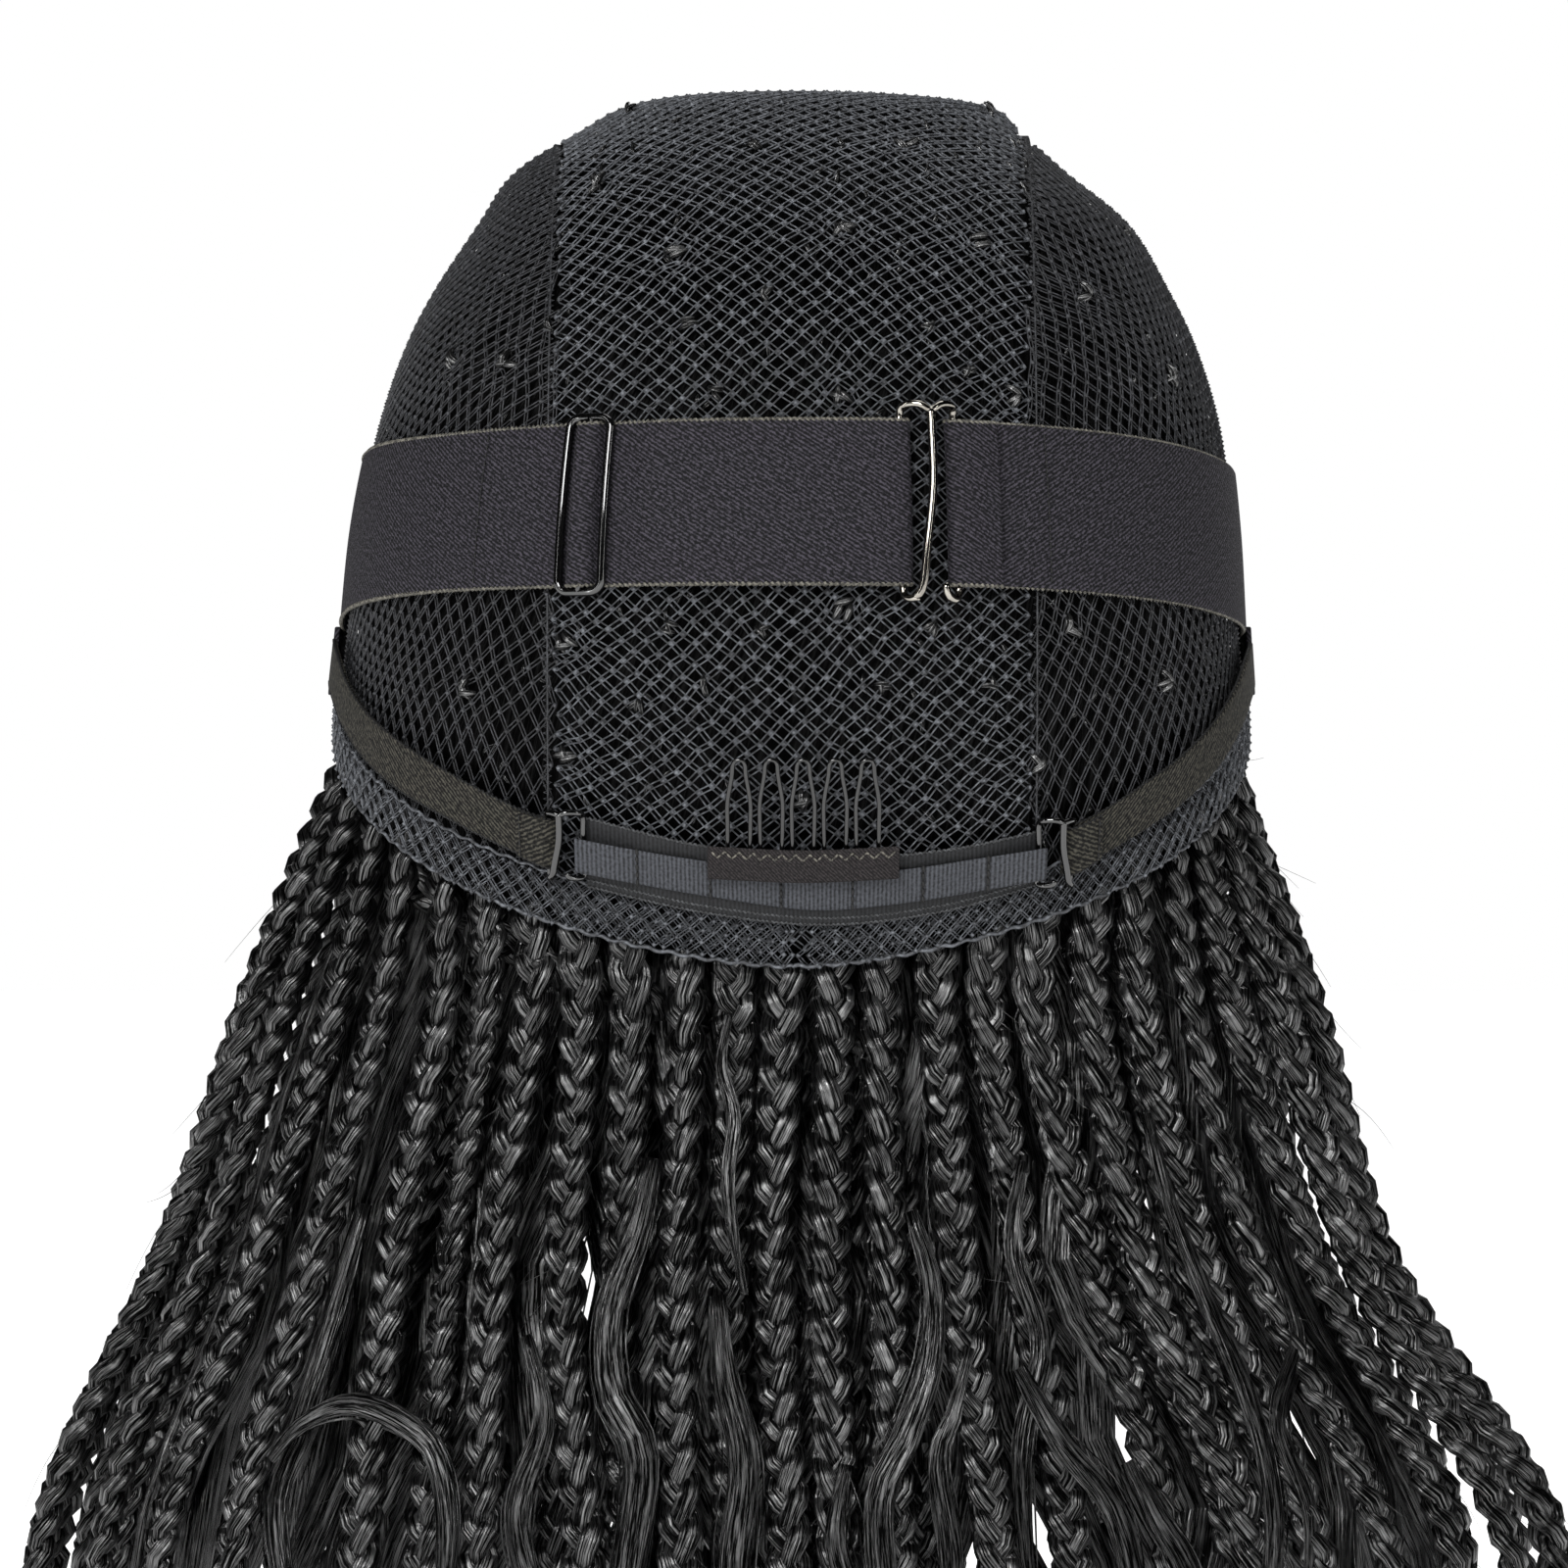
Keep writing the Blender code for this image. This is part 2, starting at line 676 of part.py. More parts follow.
def build_elastic(looks):
    left_fold = fold(LEFT_FOLD_ANGLE, DEGREE_HEIGHT, FOLD_OFFSET, FOLD_RADIUS, 1.0, 1.0)
    left = plain_run(LEFT_PLAIN_ANGLES) + list(LEFT_FRONT_RUN) + left_fold + list(LEFT_BACK_RUN)
    folded_band("elastic_left", left, ELASTIC_EDGES, ELASTIC_THICKNESS, looks["elastic"], 3)
    right_fold = fold(RIGHT_FOLD_ANGLE, DEGREE_HEIGHT, FOLD_OFFSET, FOLD_RADIUS, -1.0, -1.0)
    right = plain_run(RIGHT_PLAIN_ANGLES) + list(RIGHT_BACK_RUN) + right_fold + list(RIGHT_FRONT_RUN)
    folded_band("elastic_right", right, ELASTIC_EDGES, ELASTIC_THICKNESS, looks["elastic"], 3)


def build_slider(looks):
    upper, lower = edges_at(ELASTIC_EDGES, SLIDER_ANGLE)
    middle = 0.5 * (upper + lower)
    half_width = 0.5 * (SLIDER_WIDTH - SLIDER_WIRE) - SLIDER_CORNER
    half_height = 0.5 * (SLIDER_HEIGHT - SLIDER_WIRE) - SLIDER_CORNER
    points = []
    for quarter in range(4):
        side_x = 1.0 if quarter in (0, 3) else -1.0
        side_z = 1.0 if quarter < 2 else -1.0
        for k in range(4):
            turn = math.radians(90.0 * quarter + 30.0 * k)
            reach_x = side_x * half_width + math.cos(turn) * SLIDER_CORNER
            reach_z = side_z * half_height + math.sin(turn) * SLIDER_CORNER
            points.append(beside(SLIDER_ANGLE, middle, reach_x, reach_z, SLIDER_OFFSET))
        if quarter in (1, 3):
            for k in range(1, SLIDER_STEPS):
                reach_z = side_z * half_height * (1.0 - 2.0 * k / SLIDER_STEPS)
                reach_x = side_x * (half_width + SLIDER_CORNER)
                points.append(beside(SLIDER_ANGLE, middle, reach_x, reach_z, SLIDER_OFFSET))
    frame = wire("band_slider", points, SLIDER_WIRE, looks["enamel"], closed=True)
    reach = 0.5 * (SLIDER_HEIGHT - SLIDER_WIRE)
    bar_points = []
    for k in range(SLIDER_STEPS + 1):
        reach_z = reach * (1.0 - 2.0 * k / SLIDER_STEPS)
        bar_points.append(beside(SLIDER_ANGLE, middle, 0.0, reach_z, SLIDER_OFFSET))
    fuse(frame, wire("slider_bar", bar_points, SLIDER_WIRE, looks["enamel"]))


def hook(name, angle, height, side, size, offset, lift, thickness, look):
    """A swan hook: a closed loop on one side of its stem and an open hook on the other."""
    width, tall = size

    def route(rows):
        return [beside(angle, height, a * width * side, b * tall, offset + c * lift) for a, b, c in rows]

    frame = wire(name, route(HOOK_FRAME), thickness, look)
    stem = wire(name + "_stem", route(HOOK_STEM), thickness * 1.08, look)
    fuse(frame, stem)


def build_hooks(looks):
    middle = 0.5 * (LEFT_FOLD_ANGLE + RIGHT_FOLD_ANGLE)
    upper, lower = edges_at(ELASTIC_EDGES, middle)
    height = 0.5 * (upper + lower)
    width = (RIGHT_FOLD_ANGLE - LEFT_FOLD_ANGLE) * degree_length(middle, height) / 0.92
    hook("band_hook", middle, height, 1.0, (width, BAND_HOOK_HEIGHT), FOLD_OFFSET,
         BAND_HOOK_LIFT, BAND_HOOK_WIRE, looks["gunmetal"])
    for name, edges, side in (("nape_hook_left", LEFT_STRAP_EDGES, -1.0),
                              ("nape_hook_right", RIGHT_STRAP_EDGES, 1.0)):
        angle, upper, lower = edges[0]
        height = 0.5 * (upper + lower)
        inwards = 0.46 * NAPE_HOOK_WIDTH / degree_length(angle * side, height)
        hook(name, (angle - inwards) * side, height - 0.4, -side, (NAPE_HOOK_WIDTH, NAPE_HOOK_HEIGHT),
             STRAP_FOLD_OFFSET, NAPE_HOOK_LIFT, NAPE_HOOK_WIRE, looks["enamel"])


def build_straps(looks):
    for word, edges, side in (("left", LEFT_STRAP_EDGES, -1.0), ("right", RIGHT_STRAP_EDGES, 1.0)):
        first, upper, lower = edges[0]
        last = edges[-1][0]
        run = []
        end = first + STRAP_FOLD_START
        for j in range(STRAP_STEPS + 1):
            run.append((last + (end - last) * j / STRAP_STEPS, STRAP_OFFSET))
        run += fold(first, 0.5 * (upper + lower), STRAP_FOLD_OFFSET, STRAP_FOLD_RADIUS, -1.0, -1.0)
        front = STRAP_FOLD_OFFSET + STRAP_FOLD_RADIUS
        run += [(end, front), (first + STRAP_TAIL, front - STRAP_TAIL_DROP)]
        folded_band("nape_strap_" + word, run, edges, STRAP_THICKNESS, looks["strap"], 1, side)
        tab = []
        for j in range(4):
            angle = TAB_FIRST_ANGLE + (TAB_LAST_ANGLE - TAB_FIRST_ANGLE) * j / 3.0
            lower = TAB_LOWER + TAB_LIFT * j / 3.0
            outer = TAB_OFFSET + TAB_THICKNESS
            tab.append(strip_outline(angle * side, TAB_UPPER, lower, TAB_OFFSET, outer))
        sections_solid("ear_tab_" + word, tab, looks["elastic"])


def tape_lift(step):
    """How far the tape stands off the ribbon: flat at its stitches, open at both free ends."""
    loop = step // TAPE_STEPS
    share = step / TAPE_STEPS - loop
    if step <= TAPE_STEPS:
        return TAPE_END_PUFF * math.cos(math.pi * 0.5 * step / TAPE_STEPS)
    if step >= (TAPE_LOOPS - 1) * TAPE_STEPS:
        return TAPE_END_PUFF * math.cos(math.pi * 0.5 * (TAPE_LOOPS - step / TAPE_STEPS))
    return TAPE_PUFF * math.sin(math.pi * share)


def build_nape(looks):
    cloth_strip("nape_ribbon", RIBBON_EDGES, RIBBON_OFFSET, RIBBON_THICKNESS, looks["ribbon"], 14)
    steps = TAPE_LOOPS * TAPE_STEPS
    cloth_strip("loop_tape", TAPE_EDGES, TAPE_OFFSET, TAPE_THICKNESS, looks["ribbon"], steps, tape_lift)


def build_comb(looks):
    points = []
    for tooth in range(COMB_TEETH):
        middle = COMB_MIDDLE + (tooth - (COMB_TEETH - 1) / 2.0) * COMB_PITCH
        leg = COMB_LEG_SPREAD
        tip = COMB_TIP_SPREAD
        shape = (
            (-leg, COMB_FOOT), (-leg, COMB_TIP - COMB_BEND), (-tip - 0.2, COMB_TIP - 3.0),
            (-tip, COMB_TIP - 0.8), (-tip * 0.5, COMB_TIP), (tip * 0.5, COMB_TIP), (tip, COMB_TIP - 0.8),
            (tip + 0.2, COMB_TIP - 3.0), (leg, COMB_TIP - COMB_BEND), (leg, COMB_FOOT),
        )
        for x, height in shape:
            angle = angle_of_x(middle + x, height)
            points.append(cap_at(angle, height, COMB_OFFSET))
    wire("comb_wire", points, COMB_WIRE, looks["enamel"])
    cover = []
    for x in (COVER_FIRST_X, 0.5 * (COVER_FIRST_X + COVER_LAST_X), COVER_LAST_X):
        bow = 1.0 - abs(x - COMB_MIDDLE) / (COVER_LAST_X - COVER_FIRST_X) * 2.0
        cover.append((x, COVER_UPPER - 0.8 * bow, COVER_LOWER - 0.8 * bow))
    cloth_strip("comb_cover", tuple(cover), COVER_OFFSET, COVER_THICKNESS, looks["cover"], 10)


def skirt_row(height):
    return smooth_row(SKIRT_SECTIONS, place_at(SKIRT_SECTIONS, height))


def skirt_at_x(x, height, tuck):
    """The point of the skirt's back at this x, moved inwards by the tuck."""
    _, left, right, back, _ = skirt_row(height)
    reach = min(abs(x) / (right if x > 0.0 else left), 1.0)
    y = -back * (1.0 - reach ** PLAN_EXPONENT) ** (1.0 / PLAN_EXPONENT)
    return Vector((x, y + tuck, height))


def along_path(controls, rings, radius, tip_radius):
    """Points at even steps along a smooth path, with radii that taper to the tip."""
    last = len(controls) - 1
    dense = [Vector(smooth_row(controls, last * k / 60.0)) for k in range(61)]
    lengths = [0.0]
    for k in range(60):
        lengths.append(lengths[-1] + (dense[k + 1] - dense[k]).length)
    points = []
    radii = []
    for j in range(rings):
        reach = lengths[-1] * j / (rings - 1)
        k = max(n for n in range(60) if lengths[n] <= reach)
        part = (reach - lengths[k]) / (lengths[k + 1] - lengths[k])
        points.append(dense[k].lerp(dense[k + 1], min(part, 1.0)))
        left_over = min((lengths[-1] - reach) / BRAID_TAPER, 1.0)
        radii.append(tip_radius + (radius - tip_radius) * left_over)
    return points, radii


def braid_root(root_angle):
    """Where a braid starts, close under the rim."""
    middle = 0.5 * (-NET_THICKNESS - ROOTS_GAP - CAP_DEPTH)
    return cap_at(root_angle, rim_edge(root_angle, middle) - BRAID_GAP, middle)


def hanging_braid(root_angle, controls):
    """Rings of a braid from under the rim through its points to a narrow tip."""
    middle = 0.5 * (-NET_THICKNESS - ROOTS_GAP - CAP_DEPTH)
    root = controls[0]
    points, radii = along_path(controls, BRAID_RINGS, BRAID_RADIUS, BRAID_TIP_RADIUS)
    rings = wire_rings(points, radii, BRAID_SIDES)
    squeeze = (CAP_DEPTH - NET_THICKNESS - ROOTS_GAP) * 0.5 / BRAID_RADIUS
    out = (cap_at(root_angle, root.z, 1.0) - cap_at(root_angle, root.z, 0.0)).normalized()
    for n, corner in enumerate(rings[0]):
        reach = corner - root
        flat = Vector((reach.x, reach.y, 0.0)).normalized() * BRAID_RADIUS
        flat -= out * flat.dot(out) * (1.0 - squeeze)
        place = root + flat
        angle = root_angle + angle_of_point(place) - angle_of_point(root)
        edge = rim_edge(angle, middle + flat.dot(out))
        rings[0][n] = Vector((place.x, place.y, edge - BRAID_GAP))
    return rings


def level_point(path, height):
    """Where a path passes this height, or its first point where it starts lower."""
    for above, below in zip(path, path[1:]):
        if above.z >= height > below.z:
            return above.lerp(below, (above.z - height) / (above.z - below.z))
    return Vector((path[0].x, path[0].y, height)) if height > path[0].z else path[-1]


def inner_braid(path, next_path, root_angle, deeper):
    """Rings of a braid that leaves another below its root and hangs inside it and the next one."""
    height = rim_height(root_angle) - INNER_DROP
    controls = []
    for level in (height - INNER_SHOULDER, -228.0, -286.0, max(path[-1].z, next_path[-1].z) + 6.0):
        between = (level_point(path, level) + level_point(next_path, level)) * 0.5
        inwards = Vector((between.x, between.y, 0.0)).normalized() * -deeper
        controls.append(between + inwards)
    points, radii = along_path(controls, INNER_RINGS, INNER_RADIUS, BRAID_TIP_RADIUS)
    return wire_rings([level_point(path, height)] + points, [INNER_ROOT_RADIUS] + radii, BRAID_SIDES)


def back_controls(root_angle, x_first, x_second, x_third, tuck, tip):
    return [
        braid_root(root_angle),
        skirt_at_x(x_first, -176.0, tuck * 0.3),
        skirt_at_x(x_second, -228.0, tuck),
        skirt_at_x(x_third, -286.0, tuck),
        skirt_at_x(x_third * 1.02, tip, tuck),
    ]


def front_controls(angle, tip):
    heights = (rim_height(angle) - 22.0, -170.0, -228.0, -286.0, tip)
    return [braid_root(angle)] + [ring_point(skirt_row(height), angle) for height in heights]


def build_braids(looks):
    braids = []
    for k, row in enumerate(BACK_BRAIDS):
        has_inner = FIRST_INNER <= k <= LAST_INNER and k not in WITHOUT_INNER
        braids.append((row[0], back_controls(*row), has_inner))
    step = (FRONT_LAST_ANGLE - FRONT_FIRST_ANGLE) / (FRONT_BRAIDS - 1)
    for k in range(FRONT_BRAIDS):
        angle = FRONT_FIRST_ANGLE + step * k
        tip = FRONT_TIP_HEIGHT - FRONT_TIP_CHANGE * math.sin(2.4 * k)
        braids.append((angle, front_controls(angle, tip), k % 2 == 1 and FRONT_FIRST_INNER <= k))
    paths = [along_path(controls, 60, 1.0, 1.0)[0] for _, controls, _ in braids]
    for n, (angle, controls, has_inner) in enumerate(braids):
        name = "braid_%02d" % (n + 1)
        base = sections_solid(name, hanging_braid(angle, controls), looks["hair"], smooth=70.0)
        if has_inner:
            tucks = [row[4] for row in BACK_BRAIDS[n:n + 2]] + [0.0, 0.0]
            deeper = INNER_TUCK + INNER_CHANGE * (n % 2) + 0.5 * abs(tucks[0] - tucks[1])
            rings = inner_braid(paths[n], paths[n + 1], angle, deeper)
            fuse(base, sections_solid(name + "_inner", rings, looks["hair"], smooth=70.0))


def main():
    clear_scene()
    looks = {
        "net": material("net", 0.85),
        "elastic": material("elastic", 0.9),
        "strap": material("strap", 0.9),
        "ribbon": material("ribbon", 0.75),
        "cover": material("cover", 0.9),
        "enamel": material("enamel", 0.2),
        "gunmetal": material("gunmetal", 0.25, 1.0),
        "hair": material("hair", 0.45),
    }
    build_cap(looks)
    build_roots(looks)
    build_elastic(looks)
    build_slider(looks)
    build_hooks(looks)
    build_straps(looks)
    build_nape(looks)
    build_comb(looks)
    build_braids(looks)


main()
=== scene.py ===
import math

import bmesh
import bpy
import numpy as np
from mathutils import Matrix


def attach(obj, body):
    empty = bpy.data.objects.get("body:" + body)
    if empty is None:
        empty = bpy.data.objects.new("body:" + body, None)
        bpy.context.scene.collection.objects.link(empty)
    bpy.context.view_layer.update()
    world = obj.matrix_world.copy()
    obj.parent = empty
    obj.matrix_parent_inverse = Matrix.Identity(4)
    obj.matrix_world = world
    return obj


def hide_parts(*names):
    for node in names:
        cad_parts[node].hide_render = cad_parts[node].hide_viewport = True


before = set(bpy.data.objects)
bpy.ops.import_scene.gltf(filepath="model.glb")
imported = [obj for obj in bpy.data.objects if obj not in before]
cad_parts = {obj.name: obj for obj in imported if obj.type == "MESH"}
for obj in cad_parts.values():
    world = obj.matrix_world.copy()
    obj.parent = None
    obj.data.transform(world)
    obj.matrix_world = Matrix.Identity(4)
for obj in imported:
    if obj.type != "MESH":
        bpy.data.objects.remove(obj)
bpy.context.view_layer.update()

mm = 0.001
print("frame loaded")

# The cap's shape, in mm: height, left, right, back, front, from the crown down.
capSections = np.array([
    (9.0, 0.0, 0.0, 0.0, 0.0), (8.2, 21.0, 22.0, 20.0, 21.0), (6.0, 34.5, 41.0, 34.0, 36.0),
    (1.0, 43.5, 47.0, 46.0, 50.0), (-7.7, 57.0, 56.4, 60.5, 65.0), (-18.3, 64.2, 69.0, 73.0, 77.0),
    (-31.7, 73.0, 77.0, 83.0, 86.5), (-44.1, 79.2, 82.8, 89.5, 92.0), (-59.9, 84.4, 87.4, 94.5, 95.0),
    (-79.5, 88.4, 89.8, 98.0, 96.0), (-101.0, 90.6, 91.0, 98.5, 96.0), (-119.5, 92.2, 92.0, 96.0, 95.5),
    (-145.0, 92.0, 92.0, 89.0, 94.0), (-170.0, 90.0, 90.0, 78.0, 92.0),
])
# The same for the curtain of braids below the rim.
skirtSections = np.array([
    (-60.0, 80.0, 80.0, 90.0, 89.0), (-120.0, 87.5, 87.5, 90.0, 94.0), (-170.0, 109.0, 104.5, 76.0, 100.0),
    (-228.0, 128.5, 120.5, 87.0, 103.0), (-286.0, 152.5, 156.0, 95.0, 106.0),
    (-370.0, 156.0, 160.0, 99.0, 107.0),
])
roundness = 2.2  # of the cap seen from above, where 2 is an ellipse


def rowAt(rows, place):
    # rows between the given ones, on a smooth curve through them
    place = np.clip(np.asarray(place, float), 0.0, len(rows) - 1.0)
    start = np.minimum(place.astype(int), len(rows) - 2)
    part = (place - start)[..., None]
    a = rows[np.maximum(start - 1, 0)]
    b = rows[start]
    c = rows[start + 1]
    d = rows[np.minimum(start + 2, len(rows) - 1)]
    rise = (c - a) / 2
    fall = (d - b) / 2
    bend = 2 * (b - c) + rise + fall
    turn = 3 * (c - b) - 2 * rise - fall
    return b + part * (rise + part * (turn + part * bend))


def placeOf(rows, value):
    # where the first column has this value
    places = np.linspace(0, len(rows) - 1, 4001)
    column = rowAt(rows, places)[:, 0]
    if column[0] > column[-1]:
        places = places[::-1]
        column = column[::-1]
    return np.interp(value, column, places)


def signedPower(value, power):
    return np.sign(value) * np.abs(value) ** power


def ringPoint(row, angle):
    turn = np.radians(angle)
    across = signedPower(np.sin(turn), 2 / roundness)
    along = -signedPower(np.cos(turn), 2 / roundness)
    x = across * np.where(across > 0, row[..., 2], row[..., 1])
    y = along * np.where(along > 0, row[..., 4], row[..., 3])
    return np.stack([x, y, row[..., 0] + 0 * x], axis=-1)


def unit(vectors):
    return vectors / np.maximum(np.linalg.norm(vectors, axis=-1, keepdims=True), 1e-9)


def capFace(angle, place):
    return ringPoint(rowAt(capSections, place), angle)


def capNormal(angle, place):
    along = capFace(angle + 0.5, place) - capFace(angle - 0.5, place)
    down = capFace(angle, place + 0.02) - capFace(angle, place - 0.02)
    return unit(np.cross(down, along))


def capPoint(angle, place, offset):
    place = np.maximum(place, 0.03)
    return capFace(angle, place) + capNormal(angle, place) * np.asarray(offset)[..., None]


def capAt(angle, height, offset):
    # a point off the cap's side at a given height, moved out level
    place = placeOf(capSections, height)
    along = capFace(angle + 0.5, place) - capFace(angle - 0.5, place)
    out = unit(np.stack([along[..., 1], -along[..., 0], 0 * along[..., 0]], axis=-1))
    return capFace(angle, place) + out * np.asarray(offset)[..., None]


def rimHeight(angle):
    turn = np.abs((np.asarray(angle, float) + 180) % 360 - 180)
    low = -167.1 + 47.7 * (np.minimum(turn, 90) / 90) ** 1.5
    share = np.clip((turn - 90) / 75, 0, 1)
    return low + 52.2 * share * share * (3 - 2 * share)


def rimPlace(angle):
    return placeOf(capSections, rimHeight(angle))


def levelRow(rows, value):
    return rowAt(rows, placeOf(rows, value))


def edgesAt(rows, value):
    row = levelRow(rows, value)
    return row[..., 1], row[..., 2]


def angleOfX(x, height):
    row = levelRow(capSections, height)
    half = np.where(x > 0, row[..., 2], row[..., 1])
    reach = np.minimum(np.abs(x) / half, 1.0)
    return np.degrees(np.sign(x) * np.arcsin(reach ** (roundness / 2)))


def degreeLength(angle, height):
    ends = capAt(np.array([angle - 0.5, angle + 0.5]), np.array([height, height]), np.zeros(2))
    return float(np.linalg.norm(ends[1] - ends[0]))


def beside(angle, height, across, up, lift):
    # a point off the cap, measured along it from a place on it
    return capAt(angle + across / degreeLength(angle, height), height + up, lift)


def lengthsAlong(line):
    return np.concatenate([[0], np.cumsum(np.linalg.norm(np.diff(line, axis=0), axis=1))])


def pick(wanted, lengths, line):
    # points of a line at the wanted lengths along it
    return np.stack([np.interp(wanted, lengths, line[:, k]) for k in range(3)], axis=-1)


def evenLine(line, steps):
    lengths = lengthsAlong(line)
    return pick(np.linspace(0, lengths[-1], steps), lengths, line)


def smoothPath(points, steps):
    # evenly spaced points on a smooth curve through the given ones
    points = np.asarray(points, float)
    return evenLine(rowAt(points, np.linspace(0, len(points) - 1, 40 * len(points))), steps)


def outAndAside(path):
    # square to a path: the way out of the curtain of hair, and the way aside
    way = unit(np.gradient(path, axis=0))
    out = path * [1, 1, 0]
    out = unit(out - way * (out * way).sum(axis=1, keepdims=True))
    return out, np.cross(way, out)


# Camera, floor and light.
studio = {
    "lens": 173.1,  # mm, for the photograph's narrow field
    "distance": 1.539,  # m from the cap's axis to the lens
    "eyeHeight": -0.1317,
    "aside": -0.0016,
    "floorHeight": -0.42,
    "white": 1.0,
    "keyPower": 34.0,
    "stripPower": 3.6,
    "topPower": 5.0,
}


def addNode(tree, kind, settings=None, inputs=None):
    # a node with its settings and inputs, where an input is a value or another node's output
    node = tree.nodes.new(kind)
    for key, value in (settings or {}).items():
        setattr(node, key, value)
    for key, value in (inputs or {}).items():
        if isinstance(value, bpy.types.NodeSocket):
            tree.links.new(value, node.inputs[key])
        else:
            node.inputs[key].default_value = value
    return node


def colour(text):
    # an sRGB hex colour as linear values
    parts = [int(text[k:k + 2], 16) / 255 for k in (1, 3, 5)]
    linear = [p / 12.92 if p <= 0.04045 else ((p + 0.055) / 1.055) ** 2.4 for p in parts]
    return (linear[0], linear[1], linear[2], 1.0)


def newMaterial(name):
    material = bpy.data.materials.new(name)
    material.use_nodes = True
    return material, material.node_tree, material.node_tree.nodes["Principled BSDF"]


def setLook(shader, values):
    for key, value in values.items():
        shader.inputs[key].default_value = value


def paint(tree, shader, pattern, stops):
    # colours a surface by a pattern, with a colour at each stop
    ramp = addNode(tree, "ShaderNodeValToRGB", inputs={"Fac": pattern})
    parts = ramp.color_ramp.elements
    while len(parts) < len(stops):
        parts.new(0.5)
    for part, (place, text) in zip(parts, stops):
        part.position = place
        part.color = colour(text)
    tree.links.new(ramp.outputs["Color"], shader.inputs["Base Color"])


def makeStudio():
    scene = bpy.context.scene
    scene.view_settings.view_transform = "Standard"
    cameraData = bpy.data.cameras.new("camera")
    cameraData.lens = studio["lens"]
    cameraData.sensor_width = 36
    cameraData.clip_end = 50
    camera = bpy.data.objects.new("camera", cameraData)
    camera.location = (studio["aside"], -studio["distance"], studio["eyeHeight"])
    camera.rotation_euler = (math.pi / 2, 0, 0)
    scene.collection.objects.link(camera)
    scene.camera = camera

    world = bpy.data.worlds.new("white studio")
    world.use_nodes = True
    sky = world.node_tree.nodes["Background"].inputs
    sky["Color"].default_value = (1, 1, 1, 1)
    sky["Strength"].default_value = studio["white"]
    world.cycles_visibility.glossy = False
    scene.world = world

    bm = bmesh.new()
    bmesh.ops.create_circle(bm, cap_ends=True, segments=96, radius=9.0)
    bmesh.ops.translate(bm, vec=(0, 0, studio["floorHeight"]), verts=bm.verts[:])
    mesh = bpy.data.meshes.new("floor")
    bm.to_mesh(mesh)
    bm.free()
    floor = bpy.data.objects.new("floor", mesh)
    scene.collection.objects.link(floor)
    material, tree, shader = newMaterial("white paper floor")
    spots = addNode(tree, "ShaderNodeTexNoise", inputs={"Scale": 3.0})
    paint(tree, shader, spots.outputs["Fac"], ((0.0, "#fafafa"), (1.0, "#ffffff")))
    # a little light of its own, so that it ends in plain white
    setLook(shader, {"Roughness": 0.9, "Emission Color": (1, 1, 1, 1), "Emission Strength": 0.2})
    mesh.materials.append(material)

    lamps = (
        ("key lamp", (-0.5, -1.75, 0.7), 0.7, 0.7, studio["keyPower"]),
        ("left strip", (-1.15, -1.1, 0.15), 0.06, 1.3, studio["stripPower"]),
        ("right strip", (1.15, -1.1, 0.15), 0.06, 1.3, studio["stripPower"]),
        ("top lamp", (0.25, 0.2, 1.4), 0.9, 0.9, studio["topPower"]),
        ("back lamp", (0.7, 1.8, 0.7), 0.8, 0.8, studio["topPower"]),
    )
    for name, place, wide, tall, power in lamps:
        data = bpy.data.lights.new(name, "AREA")
        data.shape = "RECTANGLE"
        data.size = wide
        data.size_y = tall
        data.energy = power
        lamp = bpy.data.objects.new(name, data)
        lamp.location = place
        aim = np.array([0, 0, -0.13]) - np.array(place)
        lamp.rotation_euler = (
            math.atan2(math.hypot(aim[0], aim[1]), -aim[2]), 0, math.atan2(aim[1], aim[0]) - math.pi / 2)
        scene.collection.objects.link(lamp)
    print("camera, floor and lamps made")


makeStudio()


# Materials.
def uvIn(tree, scale):
    lay = addNode(tree, "ShaderNodeUVMap", {"uv_map": "lay"})
    place = addNode(tree, "ShaderNodeMapping", inputs={"Vector": lay.outputs["UV"], "Scale": scale})
    return place.outputs["Vector"]


def objectIn(tree, scale):
    lay = addNode(tree, "ShaderNodeTexCoord")
    place = addNode(tree, "ShaderNodeMapping", inputs={"Vector": lay.outputs["Object"], "Scale": scale})
    return place.outputs["Vector"]


def noise(tree, place, scale, detail, roughness=0.5):
    return addNode(tree, "ShaderNodeTexNoise", inputs={
        "Vector": place, "Scale": scale, "Detail": detail, "Roughness": roughness}).outputs["Fac"]


def bands(tree, place, direction, values):
    return addNode(tree, "ShaderNodeTexWave", {"wave_type": "BANDS", "bands_direction": direction},
                   {"Vector": place, **values}).outputs["Fac"]


def blend(tree, first, share, second):
    # a share of the first pattern on top of the second
    return addNode(tree, "ShaderNodeMath", {"operation": "MULTIPLY_ADD"},
                   {0: first, 1: share, 2: second}).outputs["Value"]


def addBump(tree, shader, height, strength, distance):
    bump = addNode(tree, "ShaderNodeBump", inputs={
        "Height": height, "Strength": strength, "Distance": distance})
    tree.links.new(bump.outputs["Normal"], shader.inputs["Normal"])


